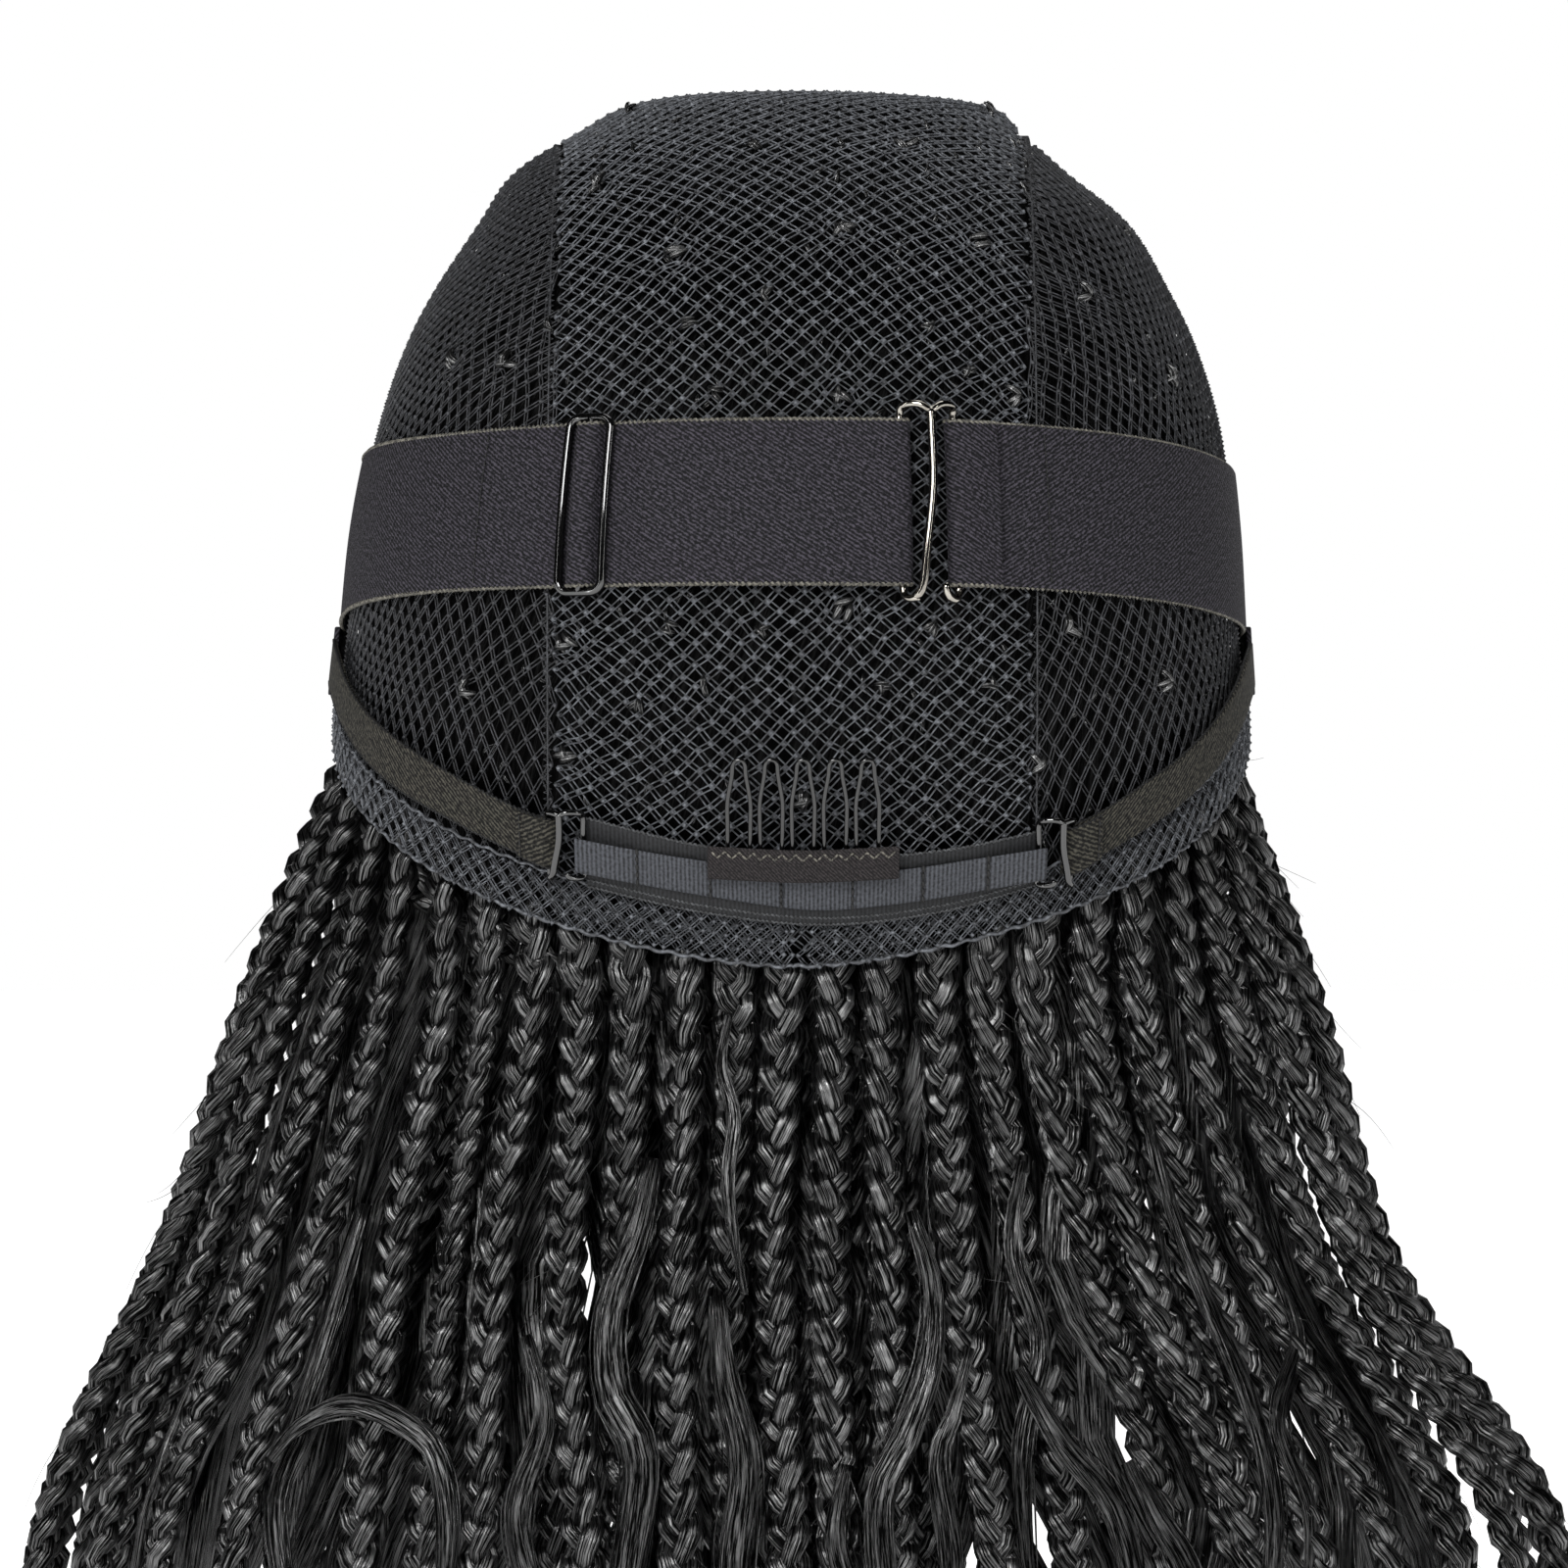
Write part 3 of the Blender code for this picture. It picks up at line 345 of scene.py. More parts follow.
def hairMaterial(name, dark, light, gloss, shine):
    # acrylic braiding fibre: filaments drawn about 0.3 mm apart, coarser than the real 0.06 mm, satin across
    material, tree, shader = newMaterial(name)
    lay = uvIn(tree, (2.9, 0.13, 1.0))
    streaks = blend(tree, noise(tree, lay, 0.37, 1.0), 0.45, noise(tree, lay, 1.0, 3.0, 0.7))
    paint(tree, shader, streaks, ((0.6, dark), (0.9, light)))
    level = addNode(tree, "ShaderNodeMapRange", inputs={
        "Value": streaks, "From Min": 0.69, "From Max": 0.93, "To Min": 0.02, "To Max": shine})
    tree.links.new(level.outputs["Result"], shader.inputs["Specular IOR Level"])
    across = addNode(tree, "ShaderNodeTangent", {"direction_type": "UV_MAP", "uv_map": "lay"})
    tree.links.new(across.outputs["Tangent"], shader.inputs["Tangent"])
    setLook(shader, {"Roughness": gloss, "IOR": 1.55, "Anisotropic": 0.85})
    addBump(tree, shader, streaks, 0.8, 0.0005)
    return material


def netMaterial(name, dark, mid, light):
    # nylon net yarn: dull, a little fuzzy, with specks about 1 mm across
    material, tree, shader = newMaterial(name)
    spots = noise(tree, objectIn(tree, (900, 900, 900)), 1.0, 2.0)
    paint(tree, shader, spots, ((0.3, dark), (0.5, mid), (0.75, light)))
    setLook(shader, {"Roughness": 0.6})
    addBump(tree, shader, spots, 0.5, 0.0003)
    return material


def knitMaterial(name, dark, mid, light, pitch, lean=0.55):
    # knitted cloth: fine slanting rows of loops, blurred by specks of lighter yarn, pitch in mm
    material, tree, shader = newMaterial(name)
    lay = addNode(tree, "ShaderNodeMapping", inputs={
        "Vector": uvIn(tree, (1.0 / pitch, 1.0 / pitch, 1.0)),
        "Rotation": (0.0, 0.0, lean)}).outputs["Vector"]
    rows = bands(tree, lay, "Y", {"Scale": 0.31, "Distortion": 2.6, "Detail": 2.0, "Detail Scale": 2.4})
    loops = blend(tree, rows, 0.3, noise(tree, lay, 0.9, 2.0, 0.7))
    paint(tree, shader, loops, ((0.48, dark), (0.65, mid), (0.84, light)))
    setLook(shader, {"Roughness": 0.85, "Specular IOR Level": 0.2})
    addBump(tree, shader, loops, 0.5, 0.0002)
    return material


def grosgrainMaterial(name, dark, light, pitch):
    # grosgrain: upright ribs across the ribbon, pitch in mm, drawn coarser than the real 0.4 mm
    material, tree, shader = newMaterial(name)
    lay = uvIn(tree, (1.0 / pitch, 1.0 / pitch, 1.0))
    ribs = bands(tree, lay, "X", {"Scale": 0.314, "Distortion": 0.6, "Detail": 1.0})
    weave = blend(tree, ribs, 0.45, noise(tree, lay, 1.4, 2.0))
    paint(tree, shader, weave, ((0.4, dark), (1.0, light)))
    setLook(shader, {"Roughness": 0.75, "Specular IOR Level": 0.3})
    addBump(tree, shader, weave, 0.5, 0.0002)
    return material


def threadMaterial(name, dark, light):
    # sewing thread: soft twisted polyester
    material, tree, shader = newMaterial(name)
    twist = noise(tree, objectIn(tree, (1500, 1500, 1500)), 1.0, 1.0)
    paint(tree, shader, twist, ((0.35, dark), (0.7, light)))
    setLook(shader, {"Roughness": 0.7})
    addBump(tree, shader, twist, 0.4, 0.0002)
    return material


def metalMaterial(name, dark, light, metallic, gloss, ior):
    # plated or enamelled wire: smooth, with faint draw marks
    material, tree, shader = newMaterial(name)
    marks = noise(tree, objectIn(tree, (700, 700, 120)), 1.0, 2.0)
    paint(tree, shader, marks, ((0.3, dark), (0.7, light)))
    setLook(shader, {"Metallic": metallic, "Roughness": gloss, "IOR": ior})
    addBump(tree, shader, marks, 0.01, 0.0001)
    return material


looks = {
    "plait": hairMaterial("acrylic braiding fibre", "#010101", "#080808", 0.3, 3.0),
    "lock": hairMaterial("loose acrylic fibre", "#010101", "#090909", 0.3, 2.4),
    # hair under the net: a darker, duller copy of the braiding fibre, painted shade for the shadow under the
    # net
    "shade": hairMaterial("acrylic fibre under the net with painted shade", "#010101", "#040404", 0.5, 0.12),
    # knots and wisps: a lighter, shinier copy of the braiding fibre, painted highlight for their glints
    "knot": hairMaterial("acrylic fibre knots with painted glints", "#060606", "#1c1c1c", 0.28, 5.0),
    "net": netMaterial("nylon net yarn", "#1a1b1d", "#3d3f43", "#62656a"),
    "netSide": netMaterial("nylon side net yarn", "#0d0d0f", "#1f2023", "#3a3b3f"),
    "elastic": knitMaterial("knitted elastic", "#040406", "#131216", "#353239", 0.7),
    "strap": knitMaterial("woven strap elastic", "#040403", "#171613", "#3c3a33", 0.8),
    "tape": grosgrainMaterial("blue-grey grosgrain tape", "#0e0f12", "#3b3d42", 0.8),
    "ribbon": grosgrainMaterial("black grosgrain ribbon", "#060607", "#1d1e20", 0.8),
    "cover": knitMaterial("cotton comb cover", "#0c0a0b", "#181616", "#2b2728", 0.5, 0.8),
    "threadDark": threadMaterial("black sewing thread", "#020202", "#0b0b0c"),
    "threadGrey": threadMaterial("grey sewing thread", "#2a2823", "#66635a"),
    "threadDim": threadMaterial("dull piping thread", "#1c1c1d", "#434547"),
    "enamel": metalMaterial("black enamelled wire", "#030303", "#060606", 0.0, 0.08, 1.75),
    "teeth": metalMaterial("black enamelled comb wire", "#020202", "#050505", 0.0, 0.12, 1.6),
    "gunmetal": metalMaterial("gunmetal plated wire", "#7c7872", "#a09c94", 1.0, 0.12, 1.8),
}
print("materials made")


# Meshes from many small shapes.
def buildPiece(name, points, faces, uvs, material, replaces=()):
    # faces is a list of arrays of corners; uvs holds one array of corner places for each
    mesh = bpy.data.meshes.new(name)
    mesh.vertices.add(len(points))
    mesh.vertices.foreach_set("co", (np.asarray(points) * mm).astype(np.float32).ravel())
    corners = np.concatenate([f.ravel() for f in faces])
    sizes = np.concatenate([np.full(len(f), f.shape[1]) for f in faces])
    mesh.loops.add(len(corners))
    mesh.loops.foreach_set("vertex_index", corners.astype(np.int32))
    mesh.polygons.add(len(sizes))
    mesh.polygons.foreach_set("loop_start", np.concatenate([[0], np.cumsum(sizes)[:-1]]).astype(np.int32))
    layer = mesh.uv_layers.new(name="lay")
    layer.data.foreach_set("uv", np.concatenate([u.reshape(-1, 2) for u in uvs]).astype(np.float32).ravel())
    mesh.polygons.foreach_set("use_smooth", np.ones(len(sizes), bool))
    mesh.update(calc_edges=True)
    mesh.validate()
    return placePiece(name, mesh, material, replaces)


def meshPiece(name, bm, material, replaces):
    mesh = bpy.data.meshes.new(name)
    bm.to_mesh(mesh)
    bm.free()
    mesh.shade_smooth()
    return placePiece(name, mesh, material, replaces)


def placePiece(name, mesh, material, replaces):
    mesh.materials.append(material)
    piece = bpy.data.objects.new(name, mesh)
    bpy.context.scene.collection.objects.link(piece)
    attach(piece, "root")
    if replaces:
        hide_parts(*replaces)
    return piece


def tubes(paths, radii, outward, sides, flat):
    # closed tubes: paths is (count, steps, 3), radii (count, steps), outward their upper side
    count, steps, _ = paths.shape
    way = unit(np.gradient(paths, axis=1))
    side = unit(np.cross(way, outward))
    up = np.cross(side, way)
    turn = 2 * np.pi * np.arange(sides) / sides
    ring = (side[:, :, None, :] * np.cos(turn)[None, None, :, None]
            + up[:, :, None, :] * (np.sin(turn) * flat)[None, None, :, None])
    points = (paths[:, :, None, :] + ring * radii[:, :, None, None]).reshape(-1, 3)
    index = np.arange(count * steps * sides).reshape(count, steps, sides)
    after = np.roll(index, -1, axis=2)
    quads = np.stack([index[:, :-1], index[:, 1:], after[:, 1:], after[:, :-1]], axis=-1).reshape(-1, 4)
    lengths = np.concatenate([
        np.zeros((count, 1)), np.cumsum(np.linalg.norm(np.diff(paths, axis=1), axis=2), axis=1)], axis=1)
    girth = 2 * np.pi * radii.max(axis=1) / sides
    shift = np.arange(count)[:, None, None] * 13.7
    u = np.arange(sides)[None, None, :] * girth[:, None, None] + shift + 0 * lengths[:, :, None]
    v = lengths[:, :, None] + shift * 2.3 + 0 * u
    step = girth[:, None, None]
    quadUv = np.stack([
        np.stack([u[:, :-1], v[:, :-1]], -1), np.stack([u[:, 1:], v[:, 1:]], -1),
        np.stack([u[:, 1:] + step, v[:, 1:]], -1), np.stack([u[:, :-1] + step, v[:, :-1]], -1)], axis=-2)
    ends = np.concatenate([index[:, 0, :], index[:, -1, ::-1]])
    endUv = np.zeros((len(ends), sides, 2))
    return points, [quads, ends], [quadUv.reshape(-1, 4, 2), endUv]


class Bundle:
    # gathers many shapes that become one piece
    def __init__(self):
        self.points = []
        self.faces = []
        self.uvs = []
        self.count = 0

    def add(self, points, faces, uvs):
        self.points.append(points)
        self.faces += [f + self.count for f in faces]
        self.uvs += uvs
        self.count += len(points)

    def addTubes(self, paths, radii, outward, sides, flat=1.0):
        paths = np.asarray(paths, float)
        radii = np.broadcast_to(np.asarray(radii, float), paths.shape[:2])
        outward = np.broadcast_to(np.asarray(outward, float), paths.shape)
        self.add(*tubes(paths, radii, outward, sides, flat))

    def build(self, name, material, replaces=()):
        return buildPiece(name, np.concatenate(self.points), self.faces, self.uvs, material, replaces)


# The net: diamonds of paired yarns with a knot at each crossing.
net = {
    "pitch": 4.6,  # mm from knot to knot, across and up
    "yarn": 0.19,  # radius of one yarn
    "pair": 0.47,  # half the distance between the two yarns of a strand
    "knot": 0.62,  # radius of a knot
    "lift": -0.55,  # middle of the yarns, from the cap's outer face
    "seam": 47.5,  # x of the seams between the middle and the side panels
    "length": 405.0,  # of the middle panel, from rim to rim over the crown
    "sidePitch": (3.9, 5.4),
    "sidePair": 0.36,
    "sideYarn": 0.18,
    "sideTurn": 14,  # degrees that the side panels' diamonds lean
    "sideReach": (216, 190.0),  # of a side panel, round the cap and down it
    "hemHeight": 11.6,
    "hemPair": 0.28,
    "hemLayers": ((0.1, 0.0, 0.14), (0.9, 2.1, 0.17)),  # lift, shift round the rim and yarn
    "hemFolds": ((0.1, 0.1, 0.4), (10.0, 0.6, 0.3)),  # height over the rim, lift and thickness
}
rootKnots = (  # angle and height of the larger knots where braids are tied in
    (-16.2, -29.2), (-54.8, -47.8), (27.5, -57.0), (4.9, -56.5), (-36.1, -14.1), (22.8, -5.1), (6.4, -23.4),
    (27.5, -25.8), (45.3, -35.7), (-41.5, -49.6), (60.3, -51.3), (-26.7, -104.4), (-41.3, -113.4),
    (-26.0, -126.2), (4.9, -98.0), (34.5, -101.4), (51.4, -111.6), (29.0, -127.9), (1.0, -135.5),
)
smallKnots = (
    (-6.1, -6.6), (-56.4, 3.9), (63.1, 4.2), (70.7, -20.7), (-34.9, -42.2), (-13.1, -43.0), (-3.1, -37.3),
    (16.9, -42.9), (-8.5, -56.5), (21.5, -52.4), (-13.4, -101.7), (15.0, -101.7), (-8.7, -112.9),
    (22.3, -112.9), (9.2, -112.9), (-16.7, -116.7), (-2.5, -101.7),
)


def netTable(lines):
    # evenly spaced rows of points over part of the cap, with their normals
    points = np.array([evenLine(line, 241) for line in lines])
    across = np.gradient(points, axis=0)
    along = np.gradient(points, axis=1)
    return points, unit(np.cross(across, along))


def middleLines():
    # sections of the cap at one x each, from the nape's rim over the crown to the forehead's rim
    places = np.linspace(0, 13, 4001)
    rows = rowAt(capSections, places)
    lines = []
    for x in np.linspace(-net["seam"], net["seam"], 49):
        half = rows[:, 2 if x > 0 else 1]
        top = places[np.argmax(half >= abs(x))]
        place = top + (13 - top) * np.linspace(0, 1, 500) ** 2
        reach = np.minimum(abs(x) / np.maximum(rowAt(capSections, place)[:, 2 if x > 0 else 1], 1e-6), 1)
        angle = np.degrees(np.arcsin(reach ** (roundness / 2))) * (1 if x >= 0 else -1)
        back = place <= rimPlace(angle)
        front = place <= rimPlace(180 - angle)
        lines.append(np.concatenate([
            capFace(angle[back][::-1], place[back][::-1]),
            capFace((180 - angle)[front][1:], place[front][1:])]))
    return lines


def sideLines(side):
    # level rings round one side of the cap, from the seam's top down past the rim
    top = placeOf(capSections, -2.0)
    turn = np.linspace(0, 180, 721)
    lines = []
    for share in np.linspace(0, 1, 61):
        ring = capFace(turn * side, np.full(721, top + (12.9 - top) * share))
        lengths = lengthsAlong(ring)
        wanted = np.interp(90, turn, lengths) + np.linspace(-110, 110, 441)
        lines.append(pick(np.clip(wanted, 0, lengths[-1]), lengths, ring))
    return np.array(lines)


def lookUp(table, a, b):
    # a point of a table by shares of its two sides
    points, normals = table
    a = np.clip(a, 0, 1) * (points.shape[0] - 1.0001)
    b = np.clip(b, 0, 1) * (points.shape[1] - 1.0001)
    i = a.astype(int)
    j = b.astype(int)
    fa = (a - i)[..., None]
    fb = (b - j)[..., None]

    def mix(field):
        return ((field[i, j] * (1 - fa) + field[i + 1, j] * fa) * (1 - fb)
                + (field[i, j + 1] * (1 - fa) + field[i + 1, j + 1] * fa) * fb)
    return mix(points), unit(mix(normals))


def addNet(bundle, find, reach, pitch, lift, yarn, pair, turn=0, keep=None):
    # diamonds over a flat field of reach[0] by reach[1] mm, laid on the cap by find(a, b), where keep allows
    radius = math.hypot(*reach) / 2 + pitch[1]
    strands = np.arange(-int(radius / pitch[0] * 2), int(radius / pitch[0] * 2) + 1)
    steps = np.arange(-int(radius / pitch[1] * 2), int(radius / pitch[1] * 2) + 1)
    cosTurn = math.cos(math.radians(turn))
    sinTurn = math.sin(math.radians(turn))
    for lean in (-1, 1):
        flatA = strands[:, None] * pitch[0] + lean * steps[None, :] * pitch[0] / 2
        flatB = steps[None, :] * pitch[1] / 2 + 0 * flatA
        inside = (np.abs(flatA) < radius) & (np.abs(flatB) < radius)
        rows = inside.any(axis=1)
        flatA = flatA[rows]
        flatB = flatB[rows]
        a = flatA * cosTurn - flatB * sinTurn
        b = flatA * sinTurn + flatB * cosTurn
        a = a + 0.5 * np.sin(b * 0.11) + 0.25 * np.sin(b * 0.43 + a * 0.2)
        b = b + 0.6 * np.sin(a * 0.09 + 1.0)
        point, normal = find(a, b)
        good = (np.abs(a) <= reach[0] / 2) & (np.abs(b) <= reach[1] / 2)
        if keep:
            good &= keep(point)
        point = pulled(point)
        way = unit(np.gradient(point, axis=1))
        side = unit(np.cross(way, normal))
        centre = point + normal * (lift + lean * 0.12)
        for offset in (-pair, pair):
            addYarns(bundle, centre + side * offset, side, normal, yarn, good)
        if lean > 0:
            addKnots(bundle, centre[good], way[good], side[good], normal[good], net["knot"])


def addYarns(bundle, middle, side, normal, yarn, good):
    # three-sided yarns along the rows of points, broken where a point isn't good
    spin = np.radians([90, 210, 330])
    ring = (side[:, :, None] * np.cos(spin)[None, None, :, None]
            + normal[:, :, None] * np.sin(spin)[None, None, :, None]) * yarn
    corners = middle[:, :, None] + ring
    index = np.arange(corners.shape[0] * corners.shape[1] * 3).reshape(corners.shape[:3])
    link = good[:, 1:] & good[:, :-1]
    faces = []
    for k in range(3):
        n = (k + 1) % 3
        quad = np.stack([index[:, :-1, k], index[:, 1:, k], index[:, 1:, n], index[:, :-1, n]], -1)
        faces.append(quad[link])
    first = good.copy()
    first[:, 1:] &= ~good[:, :-1]
    last = good.copy()
    last[:, :-1] &= ~good[:, 1:]
    caps = np.concatenate([index[first], index[last][:, ::-1]])
    addUsed(bundle, corners.reshape(-1, 3), np.concatenate(faces), caps)


def addUsed(bundle, points, *faces):
    # leaves out the points that no face uses
    used = np.unique(np.concatenate([f.ravel() for f in faces]))
    place = np.zeros(len(points), int)
    place[used] = np.arange(len(used))
    bundle.add(points[used], [place[f] for f in faces], [np.zeros(f.shape + (2,)) for f in faces])


def addKnots(bundle, centre, way, side, normal, size):
    corners = np.stack([
        centre + (way + side) * size * 0.72, centre + (way - side) * size * 0.72,
        centre - (way + side) * size * 0.72, centre - (way - side) * size * 0.72,
        centre + normal * size * 0.85, centre - normal * size * 0.6], axis=1)
    index = np.arange(len(centre) * 6).reshape(-1, 6)
    faces = []
    for k in range(4):
        n = (k + 1) % 4
        faces.append(index[:, [k, n, 4]])
        faces.append(index[:, [n, k, 5]])
    bundle.add(corners.reshape(-1, 3), faces, [np.zeros(f.shape + (2,)) for f in faces])


knotPlaces = capAt(*np.array(rootKnots).T, np.zeros(len(rootKnots)))


def pulled(points):
    # the net is drawn in and opened round the knots of the braids
    for place in knotPlaces:
        way = points - place
        far = np.linalg.norm(way, axis=-1, keepdims=True)
        points = points + unit(way) * (1.3 * np.exp(-(far / 2.6) ** 2) - 0.9 * np.exp(-((far - 7) / 4) ** 2))
    return points


def makeMiddleNet(table):
    bundle = Bundle()
    wide = 2 * net["seam"]
    long = net["length"]

    def find(a, b):
        return lookUp(table, a / wide + 0.5, b / long + 0.5)
    addNet(bundle, find, (wide, long - 2), (net["pitch"], net["pitch"]), net["lift"], net["yarn"],
           net["pair"])
    bundle.build("net_middle", looks["net"], ("cap_net",))


def makeSideNets():
    bundle = Bundle()
    tall = net["sideReach"][1]
    for side in (-1, 1):
        points = sideLines(side)
        across = np.gradient(points, axis=1) * side
        along = -np.gradient(points, axis=0)
        table = (points, unit(np.cross(across, along)))

        def find(a, b):
            return lookUp(table, 0.5 - b / tall, a * side / 220 + 0.5)

        def keep(point):
            turn = np.degrees(np.arctan2(
                signedPower(point[..., 0] / 91, roundness / 2),
                -signedPower(point[..., 1] / 93, roundness / 2)))
            return (np.abs(point[..., 0]) > net["seam"] - 2) & (point[..., 2] > rimHeight(turn) + 0.5)
        addNet(bundle, find, net["sideReach"], net["sidePitch"], net["lift"], net["sideYarn"],
               net["sidePair"], net["sideTurn"] * side, keep)
    bundle.build("net_sides", looks["netSide"])


def makeHem():
    # the net turned up once: a second layer over the first, and the fold along the rim
    bundle = Bundle()
    angle = np.linspace(0, 360, 1441)
    around = lengthsAlong(capAt(angle, rimHeight(angle), np.zeros(1441)))
    for lift, shift, yarn in net["hemLayers"]:
        def find(a, b):
            turn = np.interp(a + shift + around[-1] / 2, around, angle)
            height = rimHeight(turn) + b + 5.0
            point = capAt(turn, height, 0 * turn)
            ahead = capAt(turn + 0.5, height, 0 * turn)
            return point, unit(np.cross(ahead - point, np.broadcast_to([0.0, 0.0, 1.0], point.shape)))
        addNet(bundle, find, (around[-1], net["hemHeight"]), (net["pitch"], net["pitch"]), lift, yarn,
               net["hemPair"])
    turn = np.interp(np.linspace(0, around[-1], 1201), around, angle)
    wave = 0.25 * np.sin(np.arange(1201) * 2 * np.pi / 9)
    for drop, lift, size in net["hemFolds"]:
        line = capAt(turn, rimHeight(turn) + drop + wave, 0.4 + lift + 0 * turn)
        bundle.addTubes(line[None], size, [[[0.0, 0.0, 1.0]]], 4)
    bundle.build("net_hem", looks["net"], ("rim_hem",))


def makeSeams(table):
    # between the panels: a cord of overlock thread with a zigzag over it
    bundle = Bundle()
    steps = 500
    for side in (0.0, 1.0):
        point, normal = lookUp(table, np.full(steps, side), np.linspace(0.01, 0.99, steps))
        out = np.array([[1.0, 0.0, 0.0]]) * (1 if side else -1)
        bundle.addTubes((point - normal * 0.6)[None], 0.24, normal[None], 4)
        zigzag = np.where(np.arange(steps) % 2 == 0, -0.8, 0.8)[:, None]
        bundle.addTubes((point - normal * 0.5 + out * zigzag)[None], 0.15, normal[None], 3)
    bundle.build("net_seams", looks["netSide"])


middleTable = netTable(middleLines())
makeMiddleNet(middleTable)
makeSideNets()
makeHem()
makeSeams(middleTable)
print("net made")


# Plaits: three strands over and under.
plait = {
    "period": 20.5,  # mm along which each strand goes round once
    "across": 2.45,  # mm each strand swings aside
    "deep": 1.3,  # mm it swings to the front and back
    "strand": 2.2,  # radius of a strand
    "sides": (8, 6),  # of a strand at the nape, and of those at the forehead and inside
    "stepsEach": 11,  # rings in one period
    "thinning": 40.0,  # mm along which a plait narrows to its tip
    "roots": (1.6, -5.0),  # mm that a plait starts above the rim and off the cap's face
    "levels": (-176.0, -228.0, -286.0),  # heights of the points that the nape's braids pass
}
backBraids = (  # angle at the rim, then x at three heights, how far tucked in, height of the tip
    (-84.5, -109, -128.5, -152.5, 0, -352), (-76, -101.5, -117, -137, 0, -358),
    (-67.5, -91, -106, -125, 0, -349), (-59, -81.5, -94, -110, 0, -361), (-50.5, -69, -77.5, -85, 0, -354),
    (-42, -59.5, -67, -72, 7, -346), (-34, -50.5, -57.5, -61, 0, -360), (-26.6, -41.5, -43.5, -40, 0, -364),
    (-19.6, -31.6, -33.5, -31, 9, -350), (-12.4, -21, -22, -21.5, 0, -357),
    (-6.3, -11.4, -12, -11, 9, -345), (-0.9, -1.8, -3, -1, 0, -362), (4.2, 7.8, 7.5, 9, 0, -356),
    (10, 17.5, 18, 20, 0, -365), (17.1, 28, 32.5, 40, 0, -353), (24.4, 38, 45, 55, 9, -347),
    (32.2, 48, 59, 74, 9, -359), (41, 58.5, 68.5, 91.5, 0, -363), (49.2, 68.5, 81, 104, 0, -355),
    (57.5, 78.5, 92.5, 117, 0, -361), (66, 88, 104, 131, 0, -350), (74.5, 97, 113, 144, 0, -358),
    (83, 104.5, 120.5, 156, 0, -352),
)
frontBraids = {"count": 17, "first": 96.5, "sweep": 167.0, "tip": -355.0}  # evenly from ear to ear
innerBraids = {  # those that leave another braid and hang inside it and the next one
    "places": [k for k in range(3, 19) if k not in (4, 16)] + [26, 28, 30, 32, 34, 36, 38],
    "tuck": 10.4,
    "change": 4.0,
}


def skirtAtX(x, height, tuck):
    row = levelRow(skirtSections, height)
    reach = min(abs(x) / (row[2] if x > 0 else row[1]), 1.0)
    y = -row[3] * (1 - reach ** roundness) ** (1 / roundness)
    return (x, y + tuck, height)


def skirtAround(angle, height):
    return ringPoint(levelRow(skirtSections, height), angle)


def braidRoot(angle):
    rise, offset = plait["roots"]
    return capAt(angle, rimHeight(angle) + rise, offset)


def braidLines():
    lines = []
    first, second, third = plait["levels"]
    for angle, one, two, three, tuck, tip in backBraids:
        lines.append([braidRoot(angle), skirtAtX(one, first, tuck * 0.3), skirtAtX(two, second, tuck),
                      skirtAtX(three, third, tuck), skirtAtX(three * 1.02, tip, tuck)])
    for k in range(frontBraids["count"]):
        angle = frontBraids["first"] + frontBraids["sweep"] * k / (frontBraids["count"] - 1)
        tip = frontBraids["tip"] - 8.0 * math.sin(2.4 * k)
        heights = (float(rimHeight(angle)) - 22, -170.0, second, third, tip)
        lines.append([braidRoot(angle)] + [skirtAround(angle, height) for height in heights])
    return lines


def addPlait(bundle, line, chance, sides, size=1.0, stray=0.5):
    # plaits three strands round a smooth line; chance gives each braid its own twist and rhythm
    length = lengthsAlong(smoothPath(line, 140))[-1]
    steps = int(length / plait["period"] * plait["stepsEach"])
    path = smoothPath(line, steps)
    along = np.linspace(0, length, steps)
    fade = np.clip(along / 20, 0, 1)[:, None]
    sway = np.stack([
        np.sin(along / 23 + chance.uniform(0, 6)), np.sin(along / 31 + chance.uniform(0, 6)),
        0 * along], axis=1) * stray
    path = path + sway * fade
    out, side = outAndAside(path)
    spin = chance.uniform(-0.35, 0.35) + 0.3 * np.sin(along / 40 + chance.uniform(0, 6))
    turned = side * np.cos(spin)[:, None] + out * np.sin(spin)[:, None]
    out = out * np.cos(spin)[:, None] - side * np.sin(spin)[:, None]
    period = plait["period"] * size * chance.uniform(0.92, 1.08)
    phase = 2 * np.pi * along / period + chance.uniform(0, 6)
    phase = phase + 0.35 * np.sin(along / 17 + chance.uniform(0, 6))
    narrow = np.clip((length - along) / plait["thinning"], 0, 1)
    slim = (0.45 + 0.55 * narrow) * size * chance.uniform(0.95, 1.05)
    paths = []
    for k in range(3):
        turn = phase + 2 * np.pi * k / 3
        swing = (turned * (plait["across"] * np.sin(turn) * slim)[:, None]
                 - out * (plait["deep"] * np.sin(2 * turn) * slim)[:, None])
        paths.append(path + swing)
    bulge = 1 + 0.07 * np.sin(3 * phase)
    radii = np.stack([plait["strand"] * slim * bulge] * 3)
    radii[:, 0] *= 0.7
    radii[:, -1] *= 0.35
    bundle.addTubes(np.stack(paths), radii, np.stack([out] * 3), sides, 0.9)
    return path


def levelPoint(path, height):
    # where a path passes this height
    order = np.argsort(path[:, 2])
    return np.array([np.interp(height, path[order, 2], path[order, k]) for k in (0, 1)] + [height])


